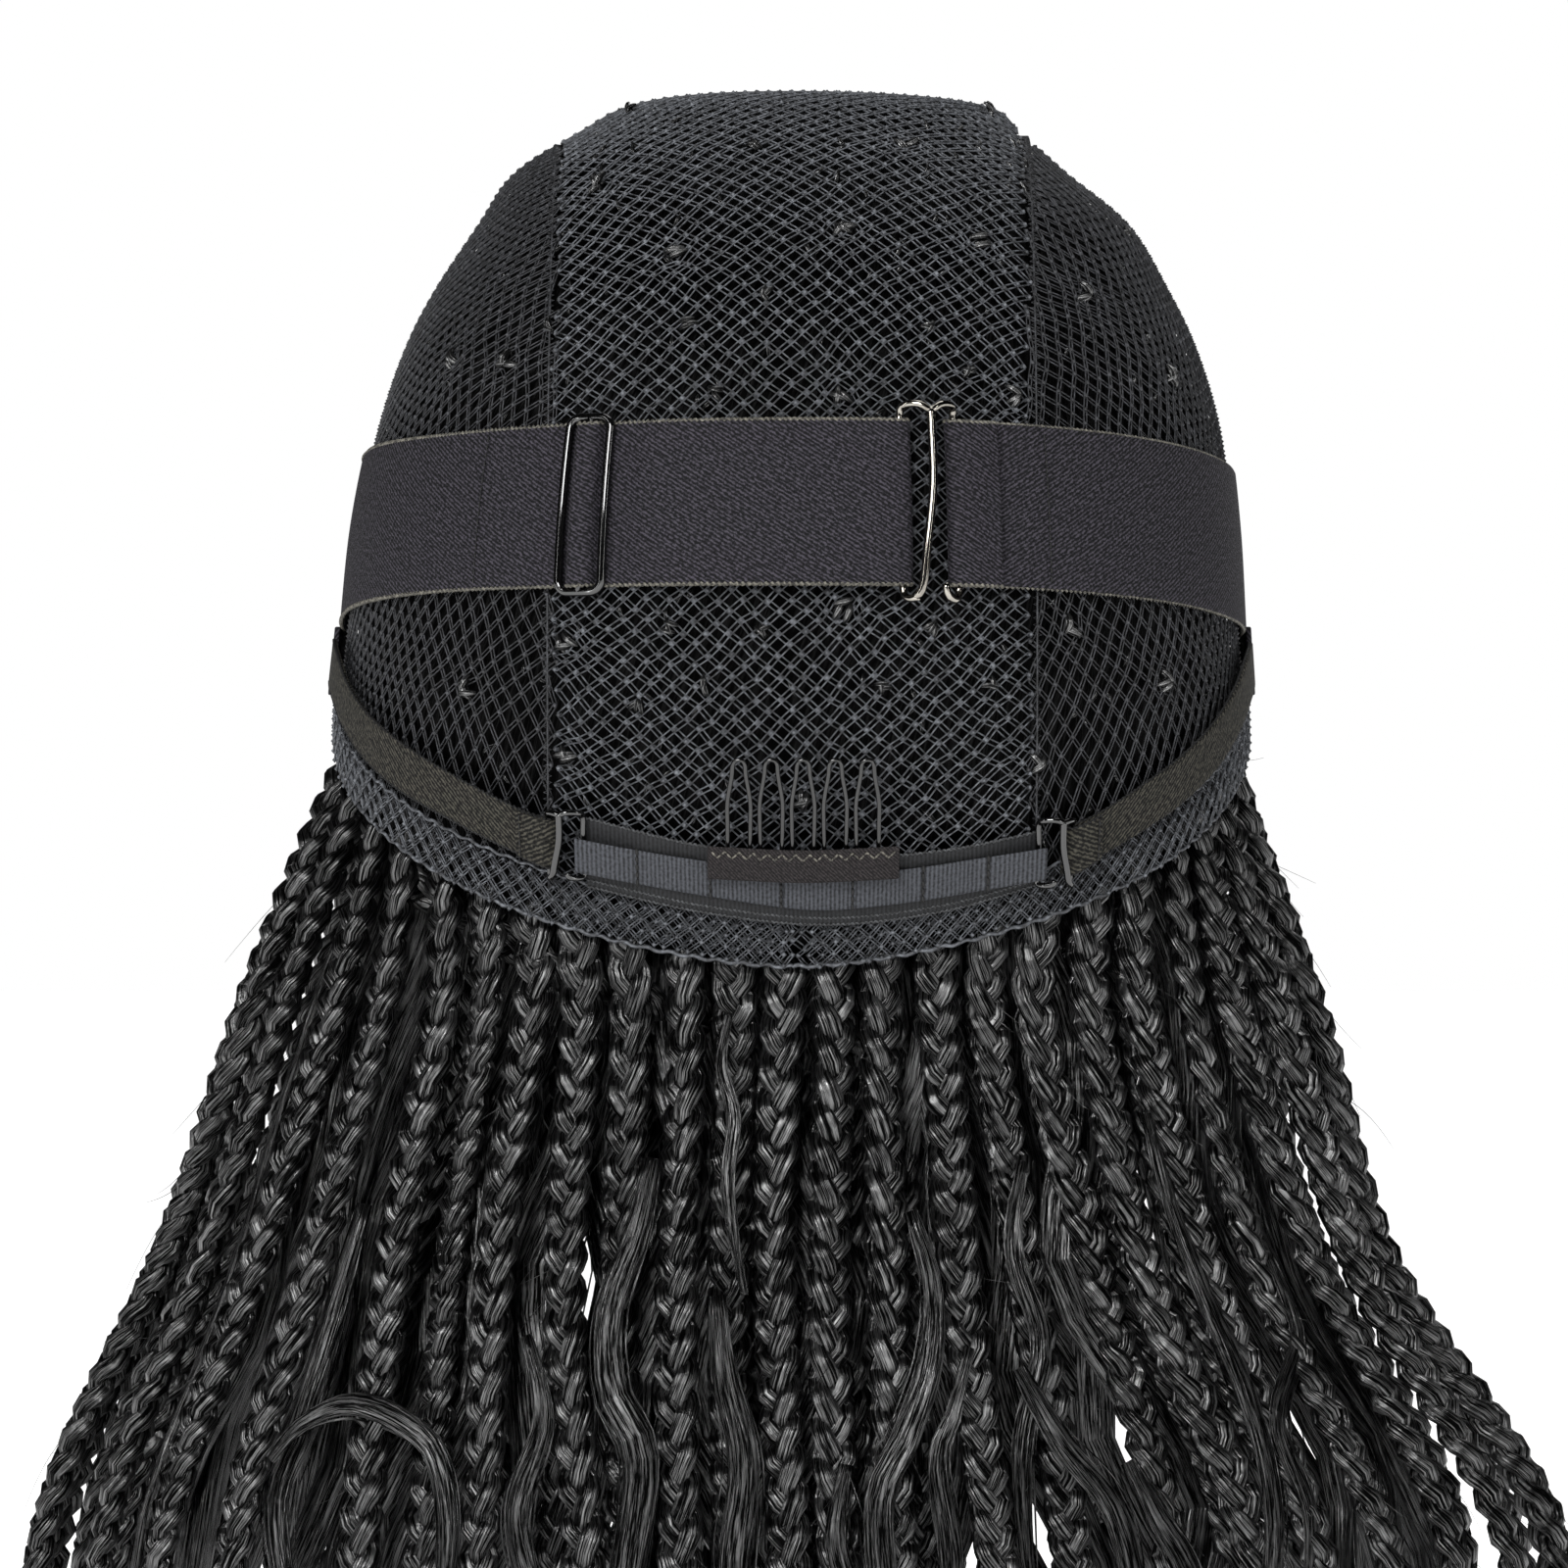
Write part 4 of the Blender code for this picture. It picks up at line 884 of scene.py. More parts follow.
def innerLine(lines, n):
    # leaves braid n below its root and hangs inside it and the next one
    paths = [smoothPath(lines[k], 60) for k in (n, n + 1)]
    tucks = [braid[4] for braid in backBraids[n:n + 2]] + [0, 0]
    deeper = innerBraids["tuck"] + innerBraids["change"] * (n % 2) + 0.5 * abs(tucks[0] - tucks[1])
    top = paths[0][0, 2] - 10.6
    line = [levelPoint(paths[0], top)]
    for height in (top - 15.0, *plait["levels"][1:], max(paths[0][-1, 2], paths[1][-1, 2]) + 6.0):
        between = (levelPoint(paths[0], height) + levelPoint(paths[1], height)) / 2
        line.append(between - unit(between * [1, 1, 0]) * deeper)
    return line


def makeBraids():
    chance = np.random.default_rng(7)
    lines = braidLines()
    paths = []
    outer, inner = plait["sides"]
    for name, first, last, sides in (
            ("braids_left", 0, 12, outer), ("braids_right", 12, 23, outer), ("braids_front", 23, 40, inner)):
        bundle = Bundle()
        for n in range(first, last):
            paths.append(addPlait(bundle, lines[n], chance, sides))
            if n in innerBraids["places"]:
                paths.append(addPlait(bundle, innerLine(lines, n), chance, inner, 0.95, 0.8))
        nodes = ["braid_%02d" % (n + 1) for n in range(first, last)]
        bundle.build(name, looks["plait"], nodes)
    print("braids made")
    return paths


braidPaths = makeBraids()


# The braids' upper ends under the net.
under = {
    "braids": 44,  # side by side round the cap
    "outer": -2.6,  # mm in from the cap's face
    "inner": -8.0,
    "cells": (176, 60),  # faces round the cap and down it
    "knotSize": 1.0,
    "smallKnotSize": 0.7,
    "wisps": 300,
}
upwards = np.array([0.0, 0.0, 1.0])


def makeUnderBraids():
    columns, rows = under["cells"]
    angle = np.arange(columns) * 360 / columns
    turn, down = np.meshgrid(angle, np.linspace(0, 1, rows) ** 0.8, indexing="ij")
    place = np.maximum(rimPlace(turn) * down, 0.03)
    ridge = turn / 360 * under["braids"]
    across = np.abs((ridge % 1) * 2 - 1)
    arc = 170 * down
    lump = np.cos(2 * np.pi * (arc / 7.0 + 0.5 * (ridge % 1 > 0.5) + 0.6 * across))
    depth = 1.5 * across ** 2 - 0.5 * lump * (1 - across)
    layers = []
    for offset, sign in ((under["outer"], -1), (under["inner"], 1)):
        layers.append(capPoint(turn, place, offset + sign * depth))
    points = np.concatenate([layers[0].reshape(-1, 3), layers[1].reshape(-1, 3)])
    index = np.arange(columns * rows).reshape(columns, rows)
    after = np.roll(index, -1, axis=0)
    outer = np.stack([index[:, :-1], index[:, 1:], after[:, 1:], after[:, :-1]], -1).reshape(-1, 4)
    inner = outer[:, ::-1] + columns * rows
    rim = np.stack([
        index[:, -1], index[:, -1] + columns * rows, after[:, -1] + columns * rows, after[:, -1]], -1)
    top = index[:, 0][None, ::-1]
    crown = index[:, 0][None] + columns * rows
    uv = np.stack([ridge.ravel() * 9 + arc.ravel() * 0.3, arc.ravel()], -1)
    uv = np.concatenate([uv, uv])
    faces = [outer, inner, rim, top, crown]
    # in the darker, duller fibre that paints the shade under the net
    buildPiece("braids_under_net", points, faces, [uv[f] for f in faces], looks["shade"],
               ("braid_roots_nape", "braid_roots_right", "braid_roots_forehead", "braid_roots_left"))


def makeRootKnots(chance):
    # three arches of hair at each knot that ties a braid to the net, in the lighter fibre that paints their
    # glints
    bundle = Bundle()
    places = [knot + (under["knotSize"],) for knot in rootKnots]
    places += [knot + (under["smallKnotSize"],) for knot in smallKnots]
    t = np.linspace(-1, 1, 9)[:, None]
    for angle, height, size in places:
        centre = capAt(angle, height, -0.3)
        east = unit(capAt(angle + 1.0, height, -0.3) - centre)
        out = np.cross(east, upwards)
        for k in range(3):
            lean = chance.uniform(0, np.pi)
            way = east * math.cos(lean) + upwards * math.sin(lean)
            shift = (east * chance.uniform(-1, 1) + upwards * chance.uniform(-1, 1)) * 1.2 * size
            arch = centre + shift + way * t * 2.0 * size + out * (0.5 - 1.3 * t ** 2) * size
            radii = 0.75 * size * (1.1 - t[:, 0] ** 2 * 0.6)
            bundle.addTubes(arch[None], radii[None], out, 6)
    bundle.build("braid_knots", looks["knot"])


def makeWisps(chance):
    # wisps of hair between the yarns, in the knots' lighter fibre as painted glints
    bundle = Bundle()
    t = np.linspace(-1, 1, 6)[:, None]
    for k in range(under["wisps"]):
        angle = chance.uniform(-85, 85)
        height = chance.uniform(-150, 0)
        if height < rimHeight(angle) + 12:
            continue
        centre = capAt(angle, height, -1.3)
        lean = chance.uniform(-1.0, 1.0)
        out = unit(capAt(angle, height, 0.0) - centre)
        way = upwards * math.cos(lean) + np.cross(upwards, out) * math.sin(lean)
        arch = centre + way * t * chance.uniform(1.0, 2.4) - out * (t ** 2) * 0.8
        bundle.addTubes(arch[None], 0.5 * (1.05 - t[:, 0] ** 2)[None], out, 5)
    bundle.build("hair_wisps", looks["knot"])


makeUnderBraids()
hairChance = np.random.default_rng(11)
makeRootKnots(hairChance)
makeWisps(hairChance)
print("hair under the net made")


# Strips of cloth sewn or hooked on the cap.
roundedRim = 0.3  # mm, along the rim of each strip


def layStrip(name, size, cells, find, material, replaces):
    # a flat strip of length, width and thickness in mm, rounded along its rim, then laid by find(x, y, z)
    length, width, thick = size
    bm = bmesh.new()
    bmesh.ops.create_grid(bm, x_segments=cells[0], y_segments=cells[1], size=0.5)
    bmesh.ops.scale(bm, vec=(length, width, 1), verts=bm.verts[:])
    bmesh.ops.translate(bm, vec=(length / 2, 0, -thick / 2), verts=bm.verts[:])
    made = bmesh.ops.extrude_face_region(bm, geom=bm.faces[:])
    moved = [v for v in made["geom"] if isinstance(v, bmesh.types.BMVert)]
    bmesh.ops.translate(bm, vec=(0, 0, thick), verts=moved)
    bmesh.ops.recalc_face_normals(bm, faces=bm.faces[:])
    rims = [e for e in bm.edges if len(e.link_faces) == 2 and e.calc_face_angle(0) > 1.0]
    bmesh.ops.bevel(bm, geom=rims, offset=roundedRim, offset_type="OFFSET", segments=2, profile=0.5,
                    affect="EDGES", material=-1)
    lay = bm.loops.layers.uv.new("lay")
    for face in bm.faces:
        for loop in face.loops:
            x, y, z = loop.vert.co
            loop[lay].uv = (x, y + z)
    flat = np.array([v.co[:] for v in bm.verts])
    laid = find(flat[:, 0], flat[:, 1] / width, flat[:, 2]) * mm
    for vert, place in zip(bm.verts, laid):
        vert.co = place
    bmesh.ops.recalc_face_normals(bm, faces=bm.faces[:])
    return meshPiece(name, bm, material, replaces)


def bandFinder(run, edges, side=1.0):
    # lays x along a run of angle and offset, y between the band's edges and z out of it
    run = np.asarray(run, float)
    places = np.linspace(0, len(run) - 1, 60 * len(run))
    dense = rowAt(run, places)
    upper, lower = edgesAt(edges, dense[:, 0])
    line = capAt(dense[:, 0] * side, (upper + lower) / 2, dense[:, 1])
    lengths = lengthsAlong(line)

    def middleOf(x, y):
        angle = np.interp(x, lengths, dense[:, 0])
        offset = np.interp(x, lengths, dense[:, 1])
        upper, lower = edgesAt(edges, angle)
        return capAt(angle * side, (upper + lower) / 2 + y * (upper - lower), offset)

    def find(x, y, z):
        x = np.clip(x, 0, lengths[-1])
        here = middleOf(x, y)
        way = middleOf(np.minimum(x + 0.4, lengths[-1]), y) - middleOf(np.maximum(x - 0.4, 0), y)
        out = unit(np.stack([way[:, 1], -way[:, 0], 0 * way[:, 0]], -1))
        return here + out * np.asarray(z)[..., None]
    return find, lengths[-1]


def edgeCord(bundle, find, length, y, z, size, pitch=1.1):
    # a twisted picot edge
    count = int(length / pitch) * 4
    x = np.linspace(0.2, length - 0.2, count)
    turn = 2 * np.pi * x / pitch
    path = find(x, y, z)
    up = unit(find(x, y + 0.02, z) - path)
    out = unit(find(x, y, z + 0.5) - path)
    path = path + up * (np.cos(turn) * size * 0.7)[:, None] + out * (np.sin(turn) * size * 0.7)[:, None]
    bundle.addTubes(path[None], size, out[None], 4)


def stitches(bundle, path, out, pitch, size, gap=0.25):
    # separate stitches along a path
    lengths = lengthsAlong(path)
    count = max(1, int(round(lengths[-1] / pitch)))
    t = np.linspace(0, 1, 7)
    rows = []
    ups = []
    for k in range(count):
        wanted = (k + gap / 2 + t * (1 - gap)) * lengths[-1] / count
        up = pick(wanted, lengths, out)
        rows.append(pick(wanted, lengths, path) + up * (np.sin(np.pi * t) * size * 1.3 - size * 0.5)[:, None])
        ups.append(up)
    radii = np.tile(size * (0.75 + 0.35 * np.sin(np.pi * t)), (count, 1))
    bundle.addTubes(np.array(rows), radii, np.array(ups), 5)


def uprightStitches(bundle, angle, upper, lower, offset, ahead, steps, pitch, size):
    # a row of stitches down the cap's side, on cloth that lies at this offset
    height = np.linspace(upper, lower, steps)
    path = capAt(angle, height, offset)
    stitches(bundle, path, unit(capAt(angle, height, ahead) - path), pitch, size)


band = {
    "edges": np.array([
        (-95, -67, -101), (-75, -64.5, -96.5), (-50, -63.5, -94.2), (-25, -62.5, -93.6), (0, -62, -93.4),
        (25, -62.5, -93.8), (50, -64.5, -95.8), (75, -67.5, -99), (95, -70, -101.5)], float),
    "width": 31.0,
    "thick": 1.0,
    "cell": 0.9,  # mm, length of a face of the band and of the straps
    "foldRadius": 1.45,
    "foldOffset": 2.15,
    "foldHeight": -78.0,
    "leftFold": 11.4,
    "rightFold": 18.0,
    "cordSize": 0.34,
    "seams": (-40.5, 30.6),  # angles of the two upright rows of stitches
}


def evenRun(first, sweep, offset):
    # thirteen places along a band that lies close to the cap
    return [(first + sweep * k / 12, offset) for k in range(13)]


def foldRun(angle, height, offset, radius, onwards):
    # half a turn round a bar, from the front inwards or from the back outwards
    degree = degreeLength(angle, height)
    turns = [math.pi * k / 6 for k in range(7)]
    return [(angle + math.sin(turn) * radius / degree * onwards, offset + math.cos(turn) * radius * onwards)
            for turn in turns]


def makeBand():
    edging = Bundle()
    fold = (band["foldHeight"], band["foldOffset"], band["foldRadius"])
    left = evenRun(-95, 61.0, 1.0)
    left += [(-29.5, .9), (-26.3, .9), (-25.1, 3.75), (-23.3, 3.75), (-22.1, .9), (-18.8, .9), (-15.2, 2.4),
             (-10, 2.7), (-5, 2.9), (0, 3.1), (5, 3.3), (9, 3.6)]
    left += foldRun(band["leftFold"], *fold, 1)
    left += [(9, .8), (4, .9), (-1, .9), (-6, .9), (-10, .9), (-14.2, .9)]
    right = evenRun(95, -65.0, 1.0) + [(25, .9), (20.3, .8)]
    right += foldRun(band["rightFold"], *fold, -1)
    right += [(20.3, 3.5), (23.5, 2.5)]
    for name, run in (("elastic_left", left), ("elastic_right", right)):
        find, length = bandFinder(run, band["edges"])
        size = (length, band["width"], band["thick"])
        cells = (int(length / band["cell"]), 12)
        layStrip(name + "_band", size, cells, find, looks["elastic"], (name,))
        for y in (-0.5, 0.5):
            edgeCord(edging, find, length, y, 0.2, band["cordSize"])
    edging.build("elastic_edges", looks["threadGrey"])
    sewn = Bundle()
    for angle in band["seams"]:
        uprightStitches(sewn, angle, -64, -93, 1.6, 2.6, 40, 1.6, 0.16)
    sewn.build("elastic_stitches", looks["threadDark"])
    print("elastic band made")


makeBand()


straps = {
    "left": np.array([
        (27.4, -138.6, -147.8), (32, -136.5, -145.2), (43.6, -129.2, -138.1), (53, -123.3, -132.7),
        (62.4, -117, -126.3), (70, -111, -120.2), (77, -105.6, -114.6), (85, -102.4, -110.8)], float),
    "right": np.array([
        (32.4, -140.2, -149.2), (37, -137.6, -146), (45.8, -131.2, -140), (52, -126.8, -135.8),
        (60.4, -120.3, -129.4), (69, -112.8, -122), (77, -106.2, -115.2), (85, -103, -111.4)], float),
    "width": 9.3,
    "thick": 1.0,
    "offset": 2.1,
    "foldOffset": 3.5,
    "foldRadius": 1.4,
    "cordSize": 0.26,
}


def makeStraps():
    edging = Bundle()
    sewn = Bundle()
    for word, side in (("left", -1.0), ("right", 1.0)):
        edges = straps[word]
        first = edges[0][0]
        run = evenRun(85, first + 0.9 - 85, straps["offset"])
        run += foldRun(first, (edges[0][1] + edges[0][2]) / 2, straps["foldOffset"], straps["foldRadius"], -1)
        run += [(first + 0.9, 4.9), (first + 4.4, 3.7)]
        find, length = bandFinder(run, edges, side)
        size = (length, straps["width"], straps["thick"])
        cells = (int(length / band["cell"]), 6)
        layStrip("strap_" + word, size, cells, find, looks["strap"], ("nape_strap_" + word,))
        for y in (0.5, -0.5):
            edgeCord(edging, find, length, y, 0.2, straps["cordSize"])
        upper, lower = edgesAt(edges, first + 3.6)
        uprightStitches(sewn, (first + 3.6) * side, float(upper) - 0.3, float(lower) + 0.3,
                        4.6, 6.0, 20, 1.7, 0.2)
    edging.build("strap_edges", looks["threadDark"])
    sewn.build("strap_stitches", looks["threadDark"])
    print("nape straps made")


makeStraps()


nape = {
    "ribbon": np.array([
        (-39, -138.2, -151.4), (-17, -143.6, -156.4), (6, -146, -158.8), (28, -144.6, -156.4),
        (46.4, -141, -151.2)], float),
    "tape": np.array([
        (-40, -142.1, -148.7), (-28.5, -144.5, -151.1), (-13, -147, -153.8), (4, -149.2, -156),
        (20, -148.2, -154.8), (35, -146, -152.4), (46.8, -144, -150.2)], float),
    "stitchBars": (-28.9, -15.4, -2.1, 11.3, 24.4, 36.4),
    "cover": np.array([(-15.6, -143.6, -149.9), (2.0, -144.4, -150.7), (19.6, -143.6, -149.9)], float),
    "loops": 7,
    "puff": 0.45,
    "endPuff": 2.2,
}
tabs = {"angle": 89.6, "size": (9.0, 11.0, 1.2), "upper": -99.6, "lower": -113.6, "rise": 1.8, "offset": 2.2}


def xFinder(edges, offset, first):
    # lays x across the nape, y between the strip's edges and z out of it
    def find(x, y, z):
        across = x + first
        upper, lower = edgesAt(edges, across)
        height = (upper + lower) / 2 + y * (upper - lower)
        return capAt(angleOfX(across, (upper + lower) / 2), height, offset(across) + z)
    return find


def tapePuff(x):
    # flat at each bar of stitches, open at both ends
    first = nape["tape"][0][0]
    loop = (nape["tape"][-1][0] - first) / nape["loops"]
    share = (x - first) / loop
    puff = nape["puff"] * np.abs(np.sin(np.pi * share))
    puff = np.where(share < 1, nape["endPuff"] * np.cos(np.pi * 0.5 * np.clip(share, 0, 1)), puff)
    last = nape["loops"] - share
    return np.where(last < 1, nape["endPuff"] * np.cos(np.pi * 0.5 * np.clip(last, 0, 1)), puff)


def layAcross(name, part, width, thick, cells, offset, look, node):
    # a strip across the nape; gives back its finder and length for the threads on it
    edges = nape[part]
    first = edges[0][0]
    length = edges[-1][0] - first
    find = xFinder(edges, offset, first)
    layStrip(name, (length, width, thick), cells, find, looks[look], (node,))
    return find, length


def makeNape():
    find, length = layAcross("ribbon_backing", "ribbon", 12.0, 0.8, (100, 8), lambda x: 2.0 + 0 * x,
                             "ribbon", "nape_ribbon")
    cords = Bundle()
    for y in (-0.5, -0.40, 0.5):
        edgeCord(cords, find, length, y, 0.35, 0.24, 0.9)
    cords.build("ribbon_piping", looks["threadDim"])

    find, length = layAcross("tape_loops", "tape", 6.7, 0.8, (140, 6), lambda x: 3.1 + tapePuff(x),
                             "tape", "loop_tape")
    bars = Bundle()
    y = np.linspace(0.56, -0.56, 24)
    for x in nape["stitchBars"]:
        start = x - nape["tape"][0][0]
        path = find(start, y, 0.45)
        stitches(bars, path, unit(find(start, y, 1.45) - path), 1.5, 0.3, 0.12)
    bars.build("tape_stitches", looks["threadDark"])

    find, length = layAcross("comb_cloth", "cover", 6.3, 1.0, (60, 8), lambda x: 6.0 + 0.15 * np.sin(x * 0.9),
                             "cover", "comb_cover")
    zigzag = Bundle()
    x = np.linspace(0.8, length - 0.8, 260)
    y = 0.26 + 0.10 * (2 / np.pi) * np.arcsin(np.sin(x * 2 * np.pi / 2.6))
    path = find(x, y, 0.5)
    stitches(zigzag, path, unit(find(x, y, 1.5) - path), 1.35, 0.2, 0.15)
    zigzag.build("cover_stitches", looks["threadGrey"])
    print("nape tape and comb cover made")


def makeTabs():
    for word, side in (("left", -1.0), ("right", 1.0)):
        def find(x, y, z):
            lower = tabs["lower"] + tabs["rise"] * x / tabs["size"][0]
            height = (tabs["upper"] + lower) / 2 + y * (tabs["upper"] - lower)
            return capAt((tabs["angle"] + x) * side, height, tabs["offset"] + z)
        layStrip("tab_" + word, tabs["size"], (14, 10), find, looks["elastic"],
                 ("ear_tab_" + word,))
    print("ear tabs made")


makeNape()
makeTabs()


# Bent wire: slider, hooks and comb.
slider = {"angle": -24.2, "size": (10.6, 35.4), "wire": 1.8, "offset": 2.3, "corner": 2.2}
bandHook = {"height": 36.2, "wire": 1.5, "lift": 3.0}
napeHooks = {"size": (7.6, 12.2), "wire": 1.25, "lift": 2.7, "offset": 3.5, "drop": 0.4}
comb = {
    "teeth": 5, "pitch": 5.95, "middle": 2.0, "wire": 0.9, "foot": -147.0, "waist": -140.0, "tip": -127.2,
    "bend": 8.0, "leg": 2.1, "tipSpread": 1.1, "offset": 4.7,
}
hookReach = 0.46  # of a hook's width, from its middle to its upright wires
hookFrame = (  # across, up and outwards, in shares of the hook's width, height and lift
    (.16, -.43, 1), (.22, -.50, 1), (.38, -.515, .5), (.46, -.46, 0), (.46, -.20, 0), (.46, .05, 0),
    (.46, .25, 0), (.46, .46, 0), (.40, .515, .5), (.18, .52, 1), (0, .49, 1.1), (-.18, .52, 1),
    (-.40, .515, .5), (-.46, .46, 0), (-.46, .25, 0), (-.46, .05, 0), (-.46, -.20, 0), (-.46, -.46, 0),
    (-.40, -.51, .5), (-.26, -.50, 1),
)
hookStem = (
    (-.31, -.503, .95), (-.20, -.44, 1.1), (-.12, -.22, 1.1), (-.03, .02, 1.1), (0, .20, 1.1), (0, .50, 1.1),
)


def bendWire(name, lines, look, node):
    # wires of points, thickness and whether closed, as bevelled curves made into one mesh
    bm = bmesh.new()
    for points, thickness, closed in lines:
        data = bpy.data.curves.new("wire", "CURVE")
        data.dimensions = "3D"
        data.bevel_depth = thickness / 2 * mm
        data.bevel_resolution = 4
        data.use_fill_caps = True
        spline = data.splines.new("POLY")
        spline.points.add(len(points) - 1)
        for target, point in zip(spline.points, points):
            target.co = (*(np.asarray(point) * mm), 1)
        spline.use_cyclic_u = closed
        curve = bpy.data.objects.new("wire", data)
        made = bpy.data.meshes.new_from_object(curve)
        bm.from_mesh(made)
        bpy.data.meshes.remove(made)
        bpy.data.objects.remove(curve)
        bpy.data.curves.remove(data)
    bmesh.ops.remove_doubles(bm, verts=bm.verts[:], dist=1e-6)
    bmesh.ops.recalc_face_normals(bm, faces=bm.faces[:])
    return meshPiece(name, bm, looks[look], (node,))


def sliderPoint(across, up):
    # a point of the slider, from its middle
    angle = slider["angle"]
    upper, lower = edgesAt(band["edges"], angle)
    return beside(angle, float(upper + lower) / 2, across, up, slider["offset"])


def makeSlider():
    corner = slider["corner"]
    wide = (slider["size"][0] - slider["wire"]) / 2 - corner
    reach = (slider["size"][1] - slider["wire"]) / 2
    tall = reach - corner
    points = []
    for quarter in range(4):
        sideX = 1 if quarter in (0, 3) else -1
        sideZ = 1 if quarter < 2 else -1
        for k in range(9):
            turn = math.radians(90 * quarter + 90 * k / 8)
            across = sideX * wide + math.cos(turn) * corner
            points.append(sliderPoint(across, sideZ * tall + math.sin(turn) * corner))
        if quarter in (1, 3):
            for k in range(1, 8):
                points.append(sliderPoint(sideX * (wide + corner), sideZ * tall * (1 - k / 4)))
    bar = [sliderPoint(0.0, reach * (1 - k / 5)) for k in range(11)]
    lines = ((points, slider["wire"], True), (bar, slider["wire"], False))
    bendWire("slider_wire", lines, "enamel", "band_slider")


def hookLines(angle, height, side, size, offset, hook):
    lines = []
    for rows, scale, steps in ((hookFrame, 1.0, 110), (hookStem, 1.08, 40)):
        points = [
            beside(angle, height, across * size[0] * side, up * size[1], offset + lift * hook["lift"])
            for across, up, lift in rows]
        lines.append((smoothPath(points, steps), hook["wire"] * scale, False))
    return lines


def makeHooks():
    angle = (band["leftFold"] + band["rightFold"]) / 2
    upper, lower = edgesAt(band["edges"], angle)
    height = float(upper + lower) / 2
    width = (band["rightFold"] - band["leftFold"]) * degreeLength(angle, height) / (2 * hookReach)
    lines = hookLines(angle, height, 1.0, (width, bandHook["height"]), band["foldOffset"], bandHook)
    bendWire("hook_band", lines, "gunmetal", "band_hook")
    for word, side in (("left", -1.0), ("right", 1.0)):
        first, upper, lower = straps[word][0]
        height = (upper + lower) / 2
        inwards = hookReach * napeHooks["size"][0] / degreeLength(first * side, height)
        lines = hookLines((first - inwards) * side, height - napeHooks["drop"], -side, napeHooks["size"],
                          napeHooks["offset"], napeHooks)
        bendWire("hook_nape_" + word, lines, "enamel", "nape_hook_" + word)


def makeComb():
    leg = comb["leg"]
    tip = comb["tipSpread"]
    top = comb["tip"]
    half = (
        (leg, comb["foot"]), (leg, comb["waist"]), (leg, top - comb["bend"]), (tip + 0.2, top - 3.0),
        (tip, top - 0.8), (tip * 0.5, top),
    )
    tooth = [(-x, height) for x, height in half] + list(half[::-1])
    points = []
    for k in range(comb["teeth"]):
        middle = comb["middle"] + (k - 2) * comb["pitch"]
        for x, height in tooth:
            points.append(capAt(angleOfX(middle + x, height), height, comb["offset"]))
    bendWire("comb_teeth", [(smoothPath(points, 420), comb["wire"], False)], "teeth", "comb_wire")


makeSlider()
makeHooks()
makeComb()
print("slider, hooks and comb made")


# Loose hair.
looseHair = {
    "lock": {"count": 20, "thick": 0.26, "steps": 31, "ends": 0.4},  # strands of a lock
    "inner": {"count": 5, "thick": 0.3, "steps": 20, "ends": 0.9},
    "innerRibbons": 60,
    "innerWidth": 14.5,
    "flyaways": 700,
    "flyawayThick": 0.08,
}
locks = (  # x and height along each lock in mm, its width in mm and how far in front of the braids it lies
    (((-26, -204), (-29, -218), (-34, -233), (-33.5, -248), (-28, -262), (-31, -292), (-27, -330)), 7.5, 3.0),
    (((-14, -230), (-12.5, -245), (-9, -262), (-11, -284), (-8, -310), (-12, -338)), 7.0, 3.0),
    (((22, -214), (26, -228), (25.5, -243), (21, -257), (16, -270), (18, -300), (14, -335)), 6.5, 3.5),
    (((33, -240), (30, -252), (27, -262), (30, -285), (27, -320)), 4.5, 3.0),
    (((67, -196), (71, -212), (78, -231), (86, -250), (91, -272), (90, -300), (95, -330)), 6.5, 3.0),
    (((42, -244), (50, -258), (60, -272), (64, -295), (60, -325)), 6.0, 3.5),
    (((63, -262), (68, -272), (75, -286), (76, -310), (80, -336)), 7.0, 3.0),
    (((-98, -263), (-92, -256), (-83, -252), (-73, -255), (-66, -262), (-64, -280), (-68, -310)), 5.0, 4.0),
    (((-86, -214), (-92, -236), (-98, -256), (-103, -272), (-100, -300), (-104, -330)), 9.0, -3.0),
    (((-12, -176), (-13.5, -186), (-11, -196), (-12, -210), (-9, -230)), 3.0, 2.0),
    (((92, -225), (97, -240), (93, -256), (99, -275), (96, -305)), 6.0, 2.0),
    (((10, -262), (8, -276), (11, -292), (7, -318), (10, -340)), 6.0, 3.0),
    (((-60, -215), (-63, -235), (-58, -256), (-62, -280), (-58, -315)), 5.0, -2.0),
    (((46, -205), (44, -222), (49, -240), (45, -262), (48, -300)), 5.0, -2.0),
    (((-50, -238), (-47, -254), (-52, -272), (-48, -296), (-52, -330)), 6.0, 2.5),
)


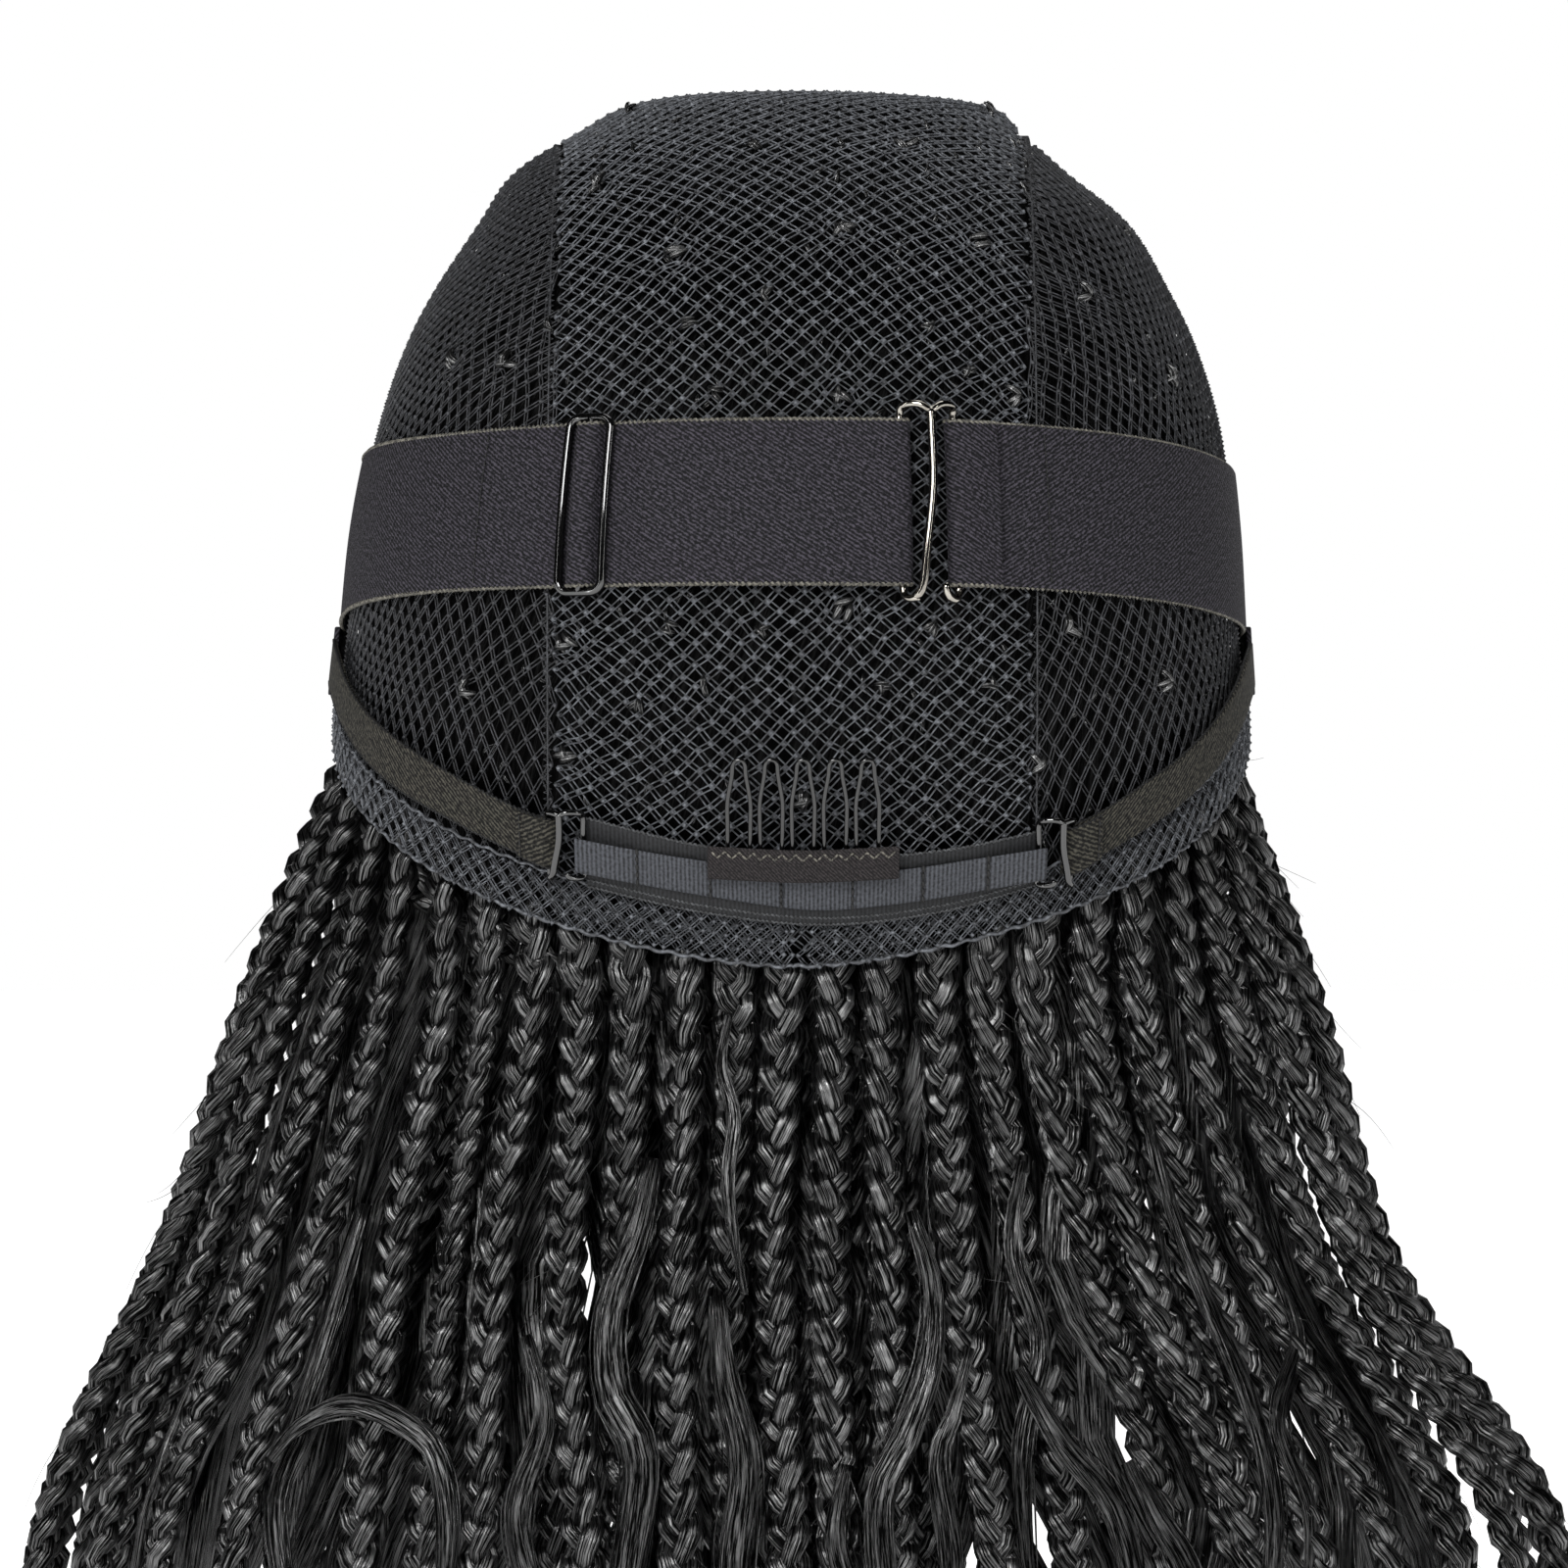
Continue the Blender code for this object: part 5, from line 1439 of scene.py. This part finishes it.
def strandBundle(bundle, line, width, chance, count, thick, steps, ends):
    # strands that wind loosely round a flat core along one line, closer together at both ends
    path = smoothPath(line, steps)
    out, side = outAndAside(path)
    t = np.linspace(0, 1, steps)
    spread = (ends + (1 - ends) * np.sin(np.pi * np.clip(t * 1.1, 0, 1))) * width / 2
    bundle.addTubes(path[None], ((spread * 0.85 + 0.2) * (1 - 0.9 * t ** 7))[None], out[None], 14, 0.42)
    paths = []
    radii = []
    for k in range(count):
        a = chance.uniform(-1, 1)
        b = chance.uniform(-0.5, 0.5)
        turn = chance.uniform(0.5, 1.6)
        start = chance.uniform(0, 6)
        x = (a + 0.3 * np.sin(turn * 6 * t + start)) * spread
        y = (b + 0.3 * np.cos(turn * 6 * t + start)) * spread * 0.6
        paths.append(path + side * x[:, None] + out * y[:, None])
        radii.append(thick * chance.uniform(0.7, 1.2) * (1.02 - 0.75 * t ** 4))
    bundle.addTubes(np.array(paths), np.array(radii), out, 3)


def makeLocks(chance):
    bundle = Bundle()
    for points, width, ahead in locks:
        line = []
        for x, height in points:
            point = np.array(skirtAtX(x, height, 0.0))
            line.append(point + unit(point * [1, 1, 0]) * ahead)
        strandBundle(bundle, line, width, chance, **looseHair["lock"])
    bundle.build("loose_locks", looks["lock"])


def makeInnerHair(chance):
    # wavy hair among the braids all round, mostly hidden
    bundle = Bundle()
    for k in range(looseHair["innerRibbons"]):
        angle = k * 360 / looseHair["innerRibbons"] + chance.uniform(-1.0, 1.0)
        closer = chance.uniform(0.80, 0.90)
        wave = chance.uniform(0, 6)
        line = []
        for height in np.linspace(float(rimHeight(angle)) + 5, -350 + chance.uniform(0, 14), 9):
            line.append(skirtAround(angle + 3.0 * math.sin(height / 13 + wave), height) * [closer, closer, 1])
        strandBundle(bundle, line, looseHair["innerWidth"], chance, **looseHair["inner"])
    bundle.build("inner_hair", looks["plait"])


def makeFlyaways(chance):
    # single hairs that stand off the braids
    t = np.linspace(0, 1, 7)[:, None]
    paths = []
    for k in range(looseHair["flyaways"]):
        source = braidPaths[chance.integers(0, len(braidPaths))]
        n = chance.integers(8, len(source) - 10)
        start = source[n]
        out = unit(start * [1, 1, 0])
        aside = np.cross(out, upwards)
        way = unit(-upwards * chance.uniform(0.2, 1.0) + aside * chance.uniform(-1, 1)
                   + out * chance.uniform(0.1, 0.8))
        bend = (aside * chance.uniform(-1, 1) - upwards * chance.uniform(-0.5, 1)) * 0.6
        reach = chance.uniform(5, 17)
        paths.append(start + out * 2.5 + way * t * reach + bend * t ** 2 * reach)
    paths = np.array(paths)
    bundle = Bundle()
    bundle.addTubes(paths, looseHair["flyawayThick"] * (1.05 - 0.7 * t[:, 0]), unit(paths * [1, 1, 0]), 3)
    bundle.build("flyaway_hairs", looks["lock"])


looseChance = np.random.default_rng(23)
makeLocks(looseChance)
makeInnerHair(looseChance)
makeFlyaways(looseChance)
print("loose hair made")
